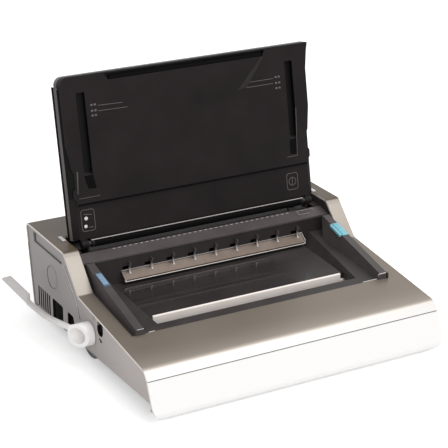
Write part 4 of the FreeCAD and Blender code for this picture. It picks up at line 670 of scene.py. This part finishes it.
# Black plates paint the shade at the slots' lower ends, under the low block's step and in the recess below
# the top edge.
shade_plates = Workpiece(LID_MM)
shade_plates.plate([(156.5, 105.5), (169.8, 105.5), (166.0, 82.0), (155.5, 84.0)], -0.06, 0.3, 1.0)
shade_plates.plate([(-170.5, 105.5), (-157.0, 105.5), (-153.5, 86.0), (-166.0, 87.0)], -0.06, 0.3, 1.0)
shade_plates.stroke((-184.0, 66.3), (184.0, 66.3), 3.2, -0.3, 3.2)
shade_plates.plate([(-119.0, 231.6), (121.0, 231.6), (121.0, 236.4), (-117.0, 236.4)], 0.2, 1.4)
shade_plates.finish("lid_shade_plates", deep_black, "lid", "black_plastic")

# A wedge a little paler than the lid paints the highlight on a fold at the upper right.
band = Workpiece(LID_MM)
band.plate([(119.5, 230.2), (123.6, 230.2), (92.6, 190.9), (77.5, 188.0)], -0.25, 0.2, 0.6)
band.finish("lid_fold_highlight", fold_highlight_grain, "lid", "black_plastic")

# The shell's sides stand straight beside the waisted liner: a flank, a wall, a black outer edge, and a
# rail that closes them from behind. The wall is the black plastic painted paler, a painted highlight
# where the side faces the light.
# Each row: name, middle, size, bevel, turn in degrees, finish, slot. The right side lies further in.
SIDE_PIECES = (
    ("flank", (189.0, 6.3, 122.0), (10.8, 1.8, 208.0), 0.4, 26.6, lid_grain, "black_plastic"),
    ("wall", (194.4, 11.6, 122.5), (1.8, 7.6, 211.0), 0.4, -15.9, lit_wall_grain, "black_plastic"),
    ("rim", (195.7, 16.4, 122.5), (1.8, 6.0, 214.0), 0.6, 0.0, deep_black, "gloss_black"),
    ("rail", (189.6, 13.2, 122.5), (8.4, 11.0, 212.0), 0.8, 0.0, lid_gloss, "gloss_black"),
)
for side, out, reach in (("left", -1, 0.0), ("right", 1, -3.0)):
    for name, (x, y, z), size, bevel, turn, finish, slot in SIDE_PIECES:
        piece = Workpiece(LID_MM)
        piece.bar(((x + reach) * out, y, z), size, bevel, (turn * out, "Z") if turn else None)
        piece.finish(side + "_lid_" + name, finish, "lid", slot)

HINGE_AT = (0.0, 2.547, 10.85)
sleeve = Workpiece(LID_MM)
profile = [(5.65, -166.0), (5.95, -165.4)]
for ring in (-120.0, -40.0, 40.0, 120.0):
    profile += [(5.95, ring - 0.8), (5.7, ring - 0.5), (5.7, ring + 0.5), (5.95, ring + 0.8)]
sleeve.turned(profile + [(5.95, 165.4), (5.65, 166.0)], HINGE_AT)
sleeve.finish("hinge_sleeve", deep_black, "lid", "black_plastic")

# The bead's pale steel is a painted highlight along the lid's rounded lower edge.
bead = Workpiece(LID_MM).bar((0.0, -1.0, 15.9), (341.0, 1.0, 1.3), 0.3)
bead.finish("lid_bottom_bead", bead_highlight_steel, "lid", "steel")
print("lid pieces ready")

# %% [markdown]
# ## Around the throat
#
# A row of ticks, one over each punch pin, shows where the holes will be. Each hook has a rivet head at
# its foot, white as a painted highlight. The stand's rolled front edge and its end are pale, painted
# highlights on the dark strip, and a black bar along its rear edge paints the shade there.

# %% Throat and stand pieces
PITCH = 8.4667
PIN_COUNT = 34
HOOK_COUNT = 9
HOOK_STEP = 4 * PITCH
FIRST_HOOK = 9.0 - 4 * HOOK_STEP  # the middle hook stands 9 mm to the right of the case's middle


def tilt_between(front, rear):
    """Slope in degrees from a front to a rear place, each (y, z)."""
    return math.degrees(math.atan2(rear[1] - front[1], rear[0] - front[0]))


LIP_FRONT = (67.0, 115.0)
LIP_SLOPE = 0.25
LIP_TILT = tilt_between(LIP_FRONT, (88.2, 120.3))
STAND_TILT = tilt_between((55.0, 83.0), (67.7, 92.3))
ticks = Workpiece().bar((-139.7, 86.0, 119.80), (4.2, 1.1, 0.4), 0.1, (LIP_TILT, "X"))
ticks.row(PIN_COUNT, (PITCH, 0.0, 0.0))
ticks.finish("hole_ticks", tick_grey, "housing", "black_plastic")

frame_line = Workpiece()
for x, y, size in ((169.0, 85.2, (28.0, 0.7, 0.4)), (163.5, 76.6, (18.0, 0.7, 0.4)),
                   (155.0, 80.9, (0.7, 9.0, 0.4)), (182.6, 83.0, (0.7, 4.6, 0.4))):
    lip_z = LIP_FRONT[1] + (y - LIP_FRONT[0]) * LIP_SLOPE
    frame_line.bar((x, y, lip_z + 0.1), size, 0.1, (LIP_TILT, "X"))
frame_line.finish("lip_frame", mark_grey, "housing", "black_plastic")

# The rivet heads are white: a painted highlight for the glint at each hook's foot.
rivets = Workpiece()
rivets.turned([(0.0, 1.3), (0.9, 1.1), (1.4, 0.4), (1.45, -0.6)], (FIRST_HOOK, 62.4, 88.8), "Z", 16)
rivets.row(HOOK_COUNT, (HOOK_STEP, 0.0, 0.0)).finish("hook_rivets", highlight_white, "housing", "steel")

# The stand's edges are pale steel: painted highlights on the dark strip.
edge = Workpiece()
edge.turned([(0.0, -138.2), (0.6, -138.0), (0.6, 152.8), (0.0, 153.0)], (0.0, 54.9, 80.6), "X", 12)
edge.bar((153.1, 61.2, 88.6), (0.5, 15.6, 1.6), 0.15, (STAND_TILT, "X"))
edge.bar((150.0, 67.1, 93.0), (6.6, 0.7, 0.9))
for x in (-137.2, 151.8):
    edge.turned([(0.0, -1.0), (1.2, -0.7), (1.5, 0.0), (1.2, 0.7), (0.0, 1.0)], (x, 54.9, 81.4), "Y", 16)
edge.bar((6.0, 66.6, 93.0), (289.0, 0.35, 0.5), 0.1)
edge.finish("stand_edge", edge_highlight_steel, "housing", "steel")

# A black bar paints the shade along the stand's rear edge.
rear_shade_bar = Workpiece().bar((4.0, 67.35, 93.1), (284.0, 0.6, 1.5))
rear_shade_bar.finish("stand_rear_shade", socket_black, "housing", "black_plastic")
print("throat pieces ready")

# %% [markdown]
# ## Arms, ledges and tabs
#
# The ledges end in a narrow white strip where they meet the cover, a painted highlight on their front
# edges, and a rubber bumper sits at the end of the right arm. Each tab gets a pad with low ribs for the
# thumb, and the right one a rim of its own colour on the arm; the left pad's paler blue is a painted
# highlight. Both stay under 2 mm, because the closed lid passes that close above the arms. A pair of pale
# wedges beside the hinge paints the highlight on the cover's inner edges there.

# %% Arm, ledge and tab pieces
ARM_FRONT = (-93.0, 82.5)
ARM_SLOPE = 0.231
ARM_TILT = math.degrees(math.atan(ARM_SLOPE))
# White strips paint the highlight on the ledges' front edges.
ledge_highlights = Workpiece()
ledge_highlights.bar((168.5, -90.3, 74.0), (23.0, 0.9, 0.9), 0.2).bar((187.5, -93.1, 81.9), (11.4, 0.7, 1.2), 0.2)
ledge_highlights.bar((181.9, -92.0, 77.6), (0.8, 0.9, 7.4), 0.2).bar((-170.0, -90.4, 73.9), (9.0, 0.8, 0.8), 0.2)
ledge_highlights.bar((-187.5, -93.1, 82.0), (10.0, 0.6, 0.7), 0.2)
ledge_highlights.finish("ledge_edge_highlights", highlight_white, "housing", "pale_lever")
bumper = Workpiece().bar((195.6, -92.0, 77.6), (2.6, 5.0, 7.6), 0.5)
bumper.bar((195.6, -94.6, 77.0), (1.6, 1.2, 4.6), 0.3)
bumper.finish("arm_bumper", rubber, "housing", "rubber")


def arm_height(y):
    return ARM_FRONT[1] + (y - ARM_FRONT[0]) * ARM_SLOPE


def slab(work, side, x, lift, size, bevel, y=19.0):
    """A bar that lies along the arm's slope, lift above its top."""
    work.bar((x * side, y, arm_height(y) + lift), size, bevel, (ARM_TILT, "X"))


def tab_pieces(colour, side, pad_finish, rim_finish, body, slot):
    """Ribs on the sprung tab, and a coloured rim beside it that wraps over the arm's inner edge."""
    pad = Workpiece()
    slab(pad, side, 188.5, 1.45, (7.8, 26.0, 0.5), 0.2)
    for number in range(4):
        slab(pad, side, 188.5, 1.7, (6.0, 1.5, 0.4), 0.15, 11.0 + 5.2 * number)
    pad.finish(colour + "_tab_pad", pad_finish, body, slot)
    if rim_finish is not None:
        rim = Workpiece()
        slab(rim, side, 181.7, 0.2, (4.2, 29.0, 1.5), 0.5)
        slab(rim, side, 180.7, -1.4, (2.6, 28.0, 3.0), 0.6)
        rim.finish(colour + "_tab_rim", rim_finish, "housing", slot)


tab_pieces("right", 1, cyan_pad, tab_cyan, "right_button", "cyan_tab")
# The left pad's paler blue is a painted highlight on the tab.
tab_pieces("left", -1, blue_pad_highlight, None, "left_button", "blue_tab")

# Pale wedges paint the highlight on the cover's inner edges beside the hinge.
stops = Workpiece().bar((202.2, 120.0, 134.2), (5.6, 17.0, 1.6), 0.5)
stops.bar((201.8, 112.6, 134.8), (3.6, 2.0, 1.2), 0.4)
stops.both_sides().finish("lid_stops", highlight_white, "housing", "pale_lever")
print("arm pieces ready")

# %% [markdown]
# ## On the case
#
# A dark gasket fills the parting line between the cover and the front panel. The end panels carry a
# fine ring groove, and a bright trim bead with a dark seam runs along the ramp.

# %% Case pieces
FRONT_LEAN = math.degrees(math.atan2(200.0 - 178.5, 52.7 - 2.0))
gasket = Workpiece().bar((0.0, -178.66, 52.45), (439.0, 0.5, 0.9), 0.1, (-FRONT_LEAN, "X"))
gasket.finish("parting_gasket", coated_steel, "housing", "dark_steel")

trim, seams = Workpiece(), Workpiece()
for start, end in (((76.0, 113.0), (39.0, 79.0)), ((39.0, 79.0), (28.0, 52.0))):
    run = Vector((0.0, end[0] - start[0], end[1] - start[1]))
    tilt = math.degrees(math.atan2(-run.z, -run.y))
    middle = (219.3, (start[0] + end[0]) / 2 + 1.3, (start[1] + end[1]) / 2 - 0.6)
    trim.bar(middle, (0.9, run.length, 1.3), 0.25, (tilt, "X"))
    line = (219.35, middle[1] + 1.6, middle[2] - 0.7)
    seams.bar(line, (0.7, run.length, 0.9), 0.1, (tilt, "X"))
trim.both_sides().finish("ramp_trim", pale_silver, "housing", "pale_fascia")
seams.both_sides().finish("ramp_seam", coated_steel, "housing", "dark_steel")

rings = Workpiece().turned([(16.4, 219.4), (16.4, 219.8), (15.7, 219.8), (15.7, 219.4)], (0.0, 120.0, 80.0))
rings.both_sides().finish("panel_ring_line", coated_steel, "housing", "dark_steel")

shades = Workpiece().bar((217.5, 180.0, 119.8), (0.7, 3.6, 13.6), 0.2)
shades.bar((217.4, 130.0, 112.7), (0.5, 94.0, 0.9))
shades.both_sides().finish("groove_shades", coated_steel, "housing", "black_plastic")

# A flat ring about the lever's axis, cut off along the foot of the end panel.
LEVER_AXIS = (0.0, -7.0, 48.0)
lobe = Workpiece()
lobe.turned([(34.9, -219.4), (34.9, -219.9), (24.0, -219.9), (24.0, -219.4)], LEVER_AXIS, "X", 64)
bmesh.ops.bisect_plane(lobe.mesh, geom=lobe.mesh.verts[:] + lobe.mesh.edges[:] + lobe.mesh.faces[:],
                       plane_co=(0.0, -7.0, 18.9), plane_no=(0.0, 0.035, 1.0), clear_outer=True)
bmesh.ops.holes_fill(lobe.mesh, edges=lobe.mesh.edges[:], sides=8)
lobe.finish("lobe_shade", coated_steel, "housing", "dark_steel")

# A strip under the cover's rear edge hides the works when the lid is down.
curtain = Workpiece().bar((0.0, 128.4, 121.5), (392.0, 1.0, 20.0), 0.2)
curtain.finish("recess_curtain", deep_black, "housing", "black_plastic")
print("case pieces ready")

# %% [markdown]
# ## Under the machine and inside
#
# The base pan is a thin moulding, so it has ribs below, and a raised rim around each foot. The control
# board carries three chips and three capacitors.

# %% Underside and inside pieces
pan = Workpiece()
for y in (-120.0, -40.0, 40.0, 120.0):
    pan.bar((0.0, y, 4.95), (320.0, 2.4, 1.1), 0.3)
for x in (-110.0, 0.0, 110.0):
    pan.bar((x, 0.0, 4.75), (2.4, 300.0, 1.3), 0.3)
pan.finish("pan_ribs", pan_grain, "housing", "black_plastic")

rims = Workpiece()
for y in (-150.0, 150.0):
    rims.turned([(11.3, 5.4), (13.0, 5.3), (13.2, 4.6), (12.6, 4.2), (11.3, 4.3)], (168.0, y, 0.0), "Z", 40)
rims.both_sides().finish("foot_rims", pan_grain, "housing", "black_plastic")

chips = Workpiece()
for x, y, wide, deep in ((67.0, 152.0, 11.0, 8.0), (88.0, 156.0, 9.0, 7.0), (105.0, 160.0, 14.0, 7.0)):
    chips.bar((x, y, 20.7), (wide, deep, 2.4), 0.3)
chips.finish("board_chips", socket_black, "housing", "switch_black")
cans = Workpiece()
for x, y, radius, tall in ((140.0, 132.0, 4.5, 13.0), (138.0, 150.0, 4.0, 11.0), (122.0, 158.0, 3.2, 9.0)):
    profile = [(0.0, 0.0), (radius - 0.4, 0.0), (radius, 0.4), (radius, 2.0), (radius - 0.4, 2.4),
               (radius, 2.8), (radius, tall - 0.5), (radius - 0.5, tall), (0.0, tall - 0.3)]
    cans.turned(profile, (x, y, 19.5), "Z", 24)
cans.finish("board_capacitors", zinc, "housing", "motor_can")
print("underside and inside pieces ready")

# %% [markdown]
# ## Floor, background and lamps
#
# The machine stands on a pale floor in a white studio. The background is white by its own colour for
# camera, glossy and transmission rays, and lights the object at a plain level. One wide lamp hangs
# above, to the right; the rolled front edge of the shell mirrors it as a bright band, which the paint's
# painted highlight makes white. A weaker lamp stands in front, to the left.


# %% Studio
FLOOR_GLOW = 0.42  # only the camera sees it
WORLD_LEVEL = 0.62  # the light that the white world gives the object


def studio():
    bpy.ops.mesh.primitive_plane_add(size=12.0)
    floor = bpy.context.object
    floor.name = "studio_floor"
    paper = Finish("floor_paper")
    fibres = paper.noise(60.0, 3.0)
    paper.surface(paper.blend(fibres, grey(0.93), grey(0.95)), paper.spread(fibres, 0.85, 0.95))
    seen = paper.node("ShaderNodeLightPath", out="Is Camera Ray")
    paper.tree.links.new(seen.socket, paper.shader.inputs["Emission Color"])
    paper.shader.inputs["Emission Strength"].default_value = FLOOR_GLOW
    floor.data.materials.append(paper.material)
    world = bpy.data.worlds.new("studio_world")
    bpy.context.scene.world = world
    world.use_nodes = True
    tree = world.node_tree
    path = tree.nodes.new("ShaderNodeLightPath")
    rays = path.outputs["Is Camera Ray"]
    for other in ("Is Glossy Ray", "Is Transmission Ray"):
        either = tree.nodes.new("ShaderNodeMath")
        either.operation = "MAXIMUM"
        tree.links.new(rays, either.inputs[0])
        tree.links.new(path.outputs[other], either.inputs[1])
        rays = either.outputs[0]
    strength = tree.nodes.new("ShaderNodeMapRange")
    strength.inputs["To Min"].default_value = WORLD_LEVEL
    strength.inputs["To Max"].default_value = 1.0
    tree.links.new(rays, strength.inputs["Value"])
    tree.links.new(strength.outputs[0], tree.nodes["Background"].inputs["Strength"])
    tree.nodes["Background"].inputs["Color"].default_value = grey(1.0)


def lamp(name, place, aim, size, watts):
    light = bpy.data.lights.new(name, "AREA")
    light.shape = "RECTANGLE"
    light.size, light.size_y = size
    light.energy = watts
    thing = bpy.data.objects.new(name, light)
    bpy.context.scene.collection.objects.link(thing)
    thing.location = place
    thing.rotation_euler = (Vector(aim) - Vector(place)).to_track_quat("-Z", "Y").to_euler()


studio()
lamp("ceiling_lamp", (0.9, -0.6, 2.3), (0.0, -0.05, 0.1), (2.2, 1.4), 30)
lamp("front_lamp", (-0.6, -2.4, 1.3), (0.0, 0.0, 0.12), (2.0, 1.4), 20)
print("studio lit")

# %% [markdown]
# ## The camera
#
# The camera stands in front of the machine, to the left and above, with a long lens.

# %% Camera
camera_data = bpy.data.cameras.new("studio_camera")
camera_data.lens = 125.97
camera_data.sensor_width = 36.0
camera = bpy.data.objects.new("studio_camera", camera_data)
bpy.context.scene.collection.objects.link(camera)
camera.location = (-0.9530, -1.7445, 0.9532)
camera.rotation_euler = (math.radians(68.285), math.radians(-0.067), math.radians(-28.916))
bpy.context.scene.camera = camera
bpy.context.scene.view_settings.view_transform = "Standard"
print("camera at", tuple(round(c, 3) for c in camera.location))
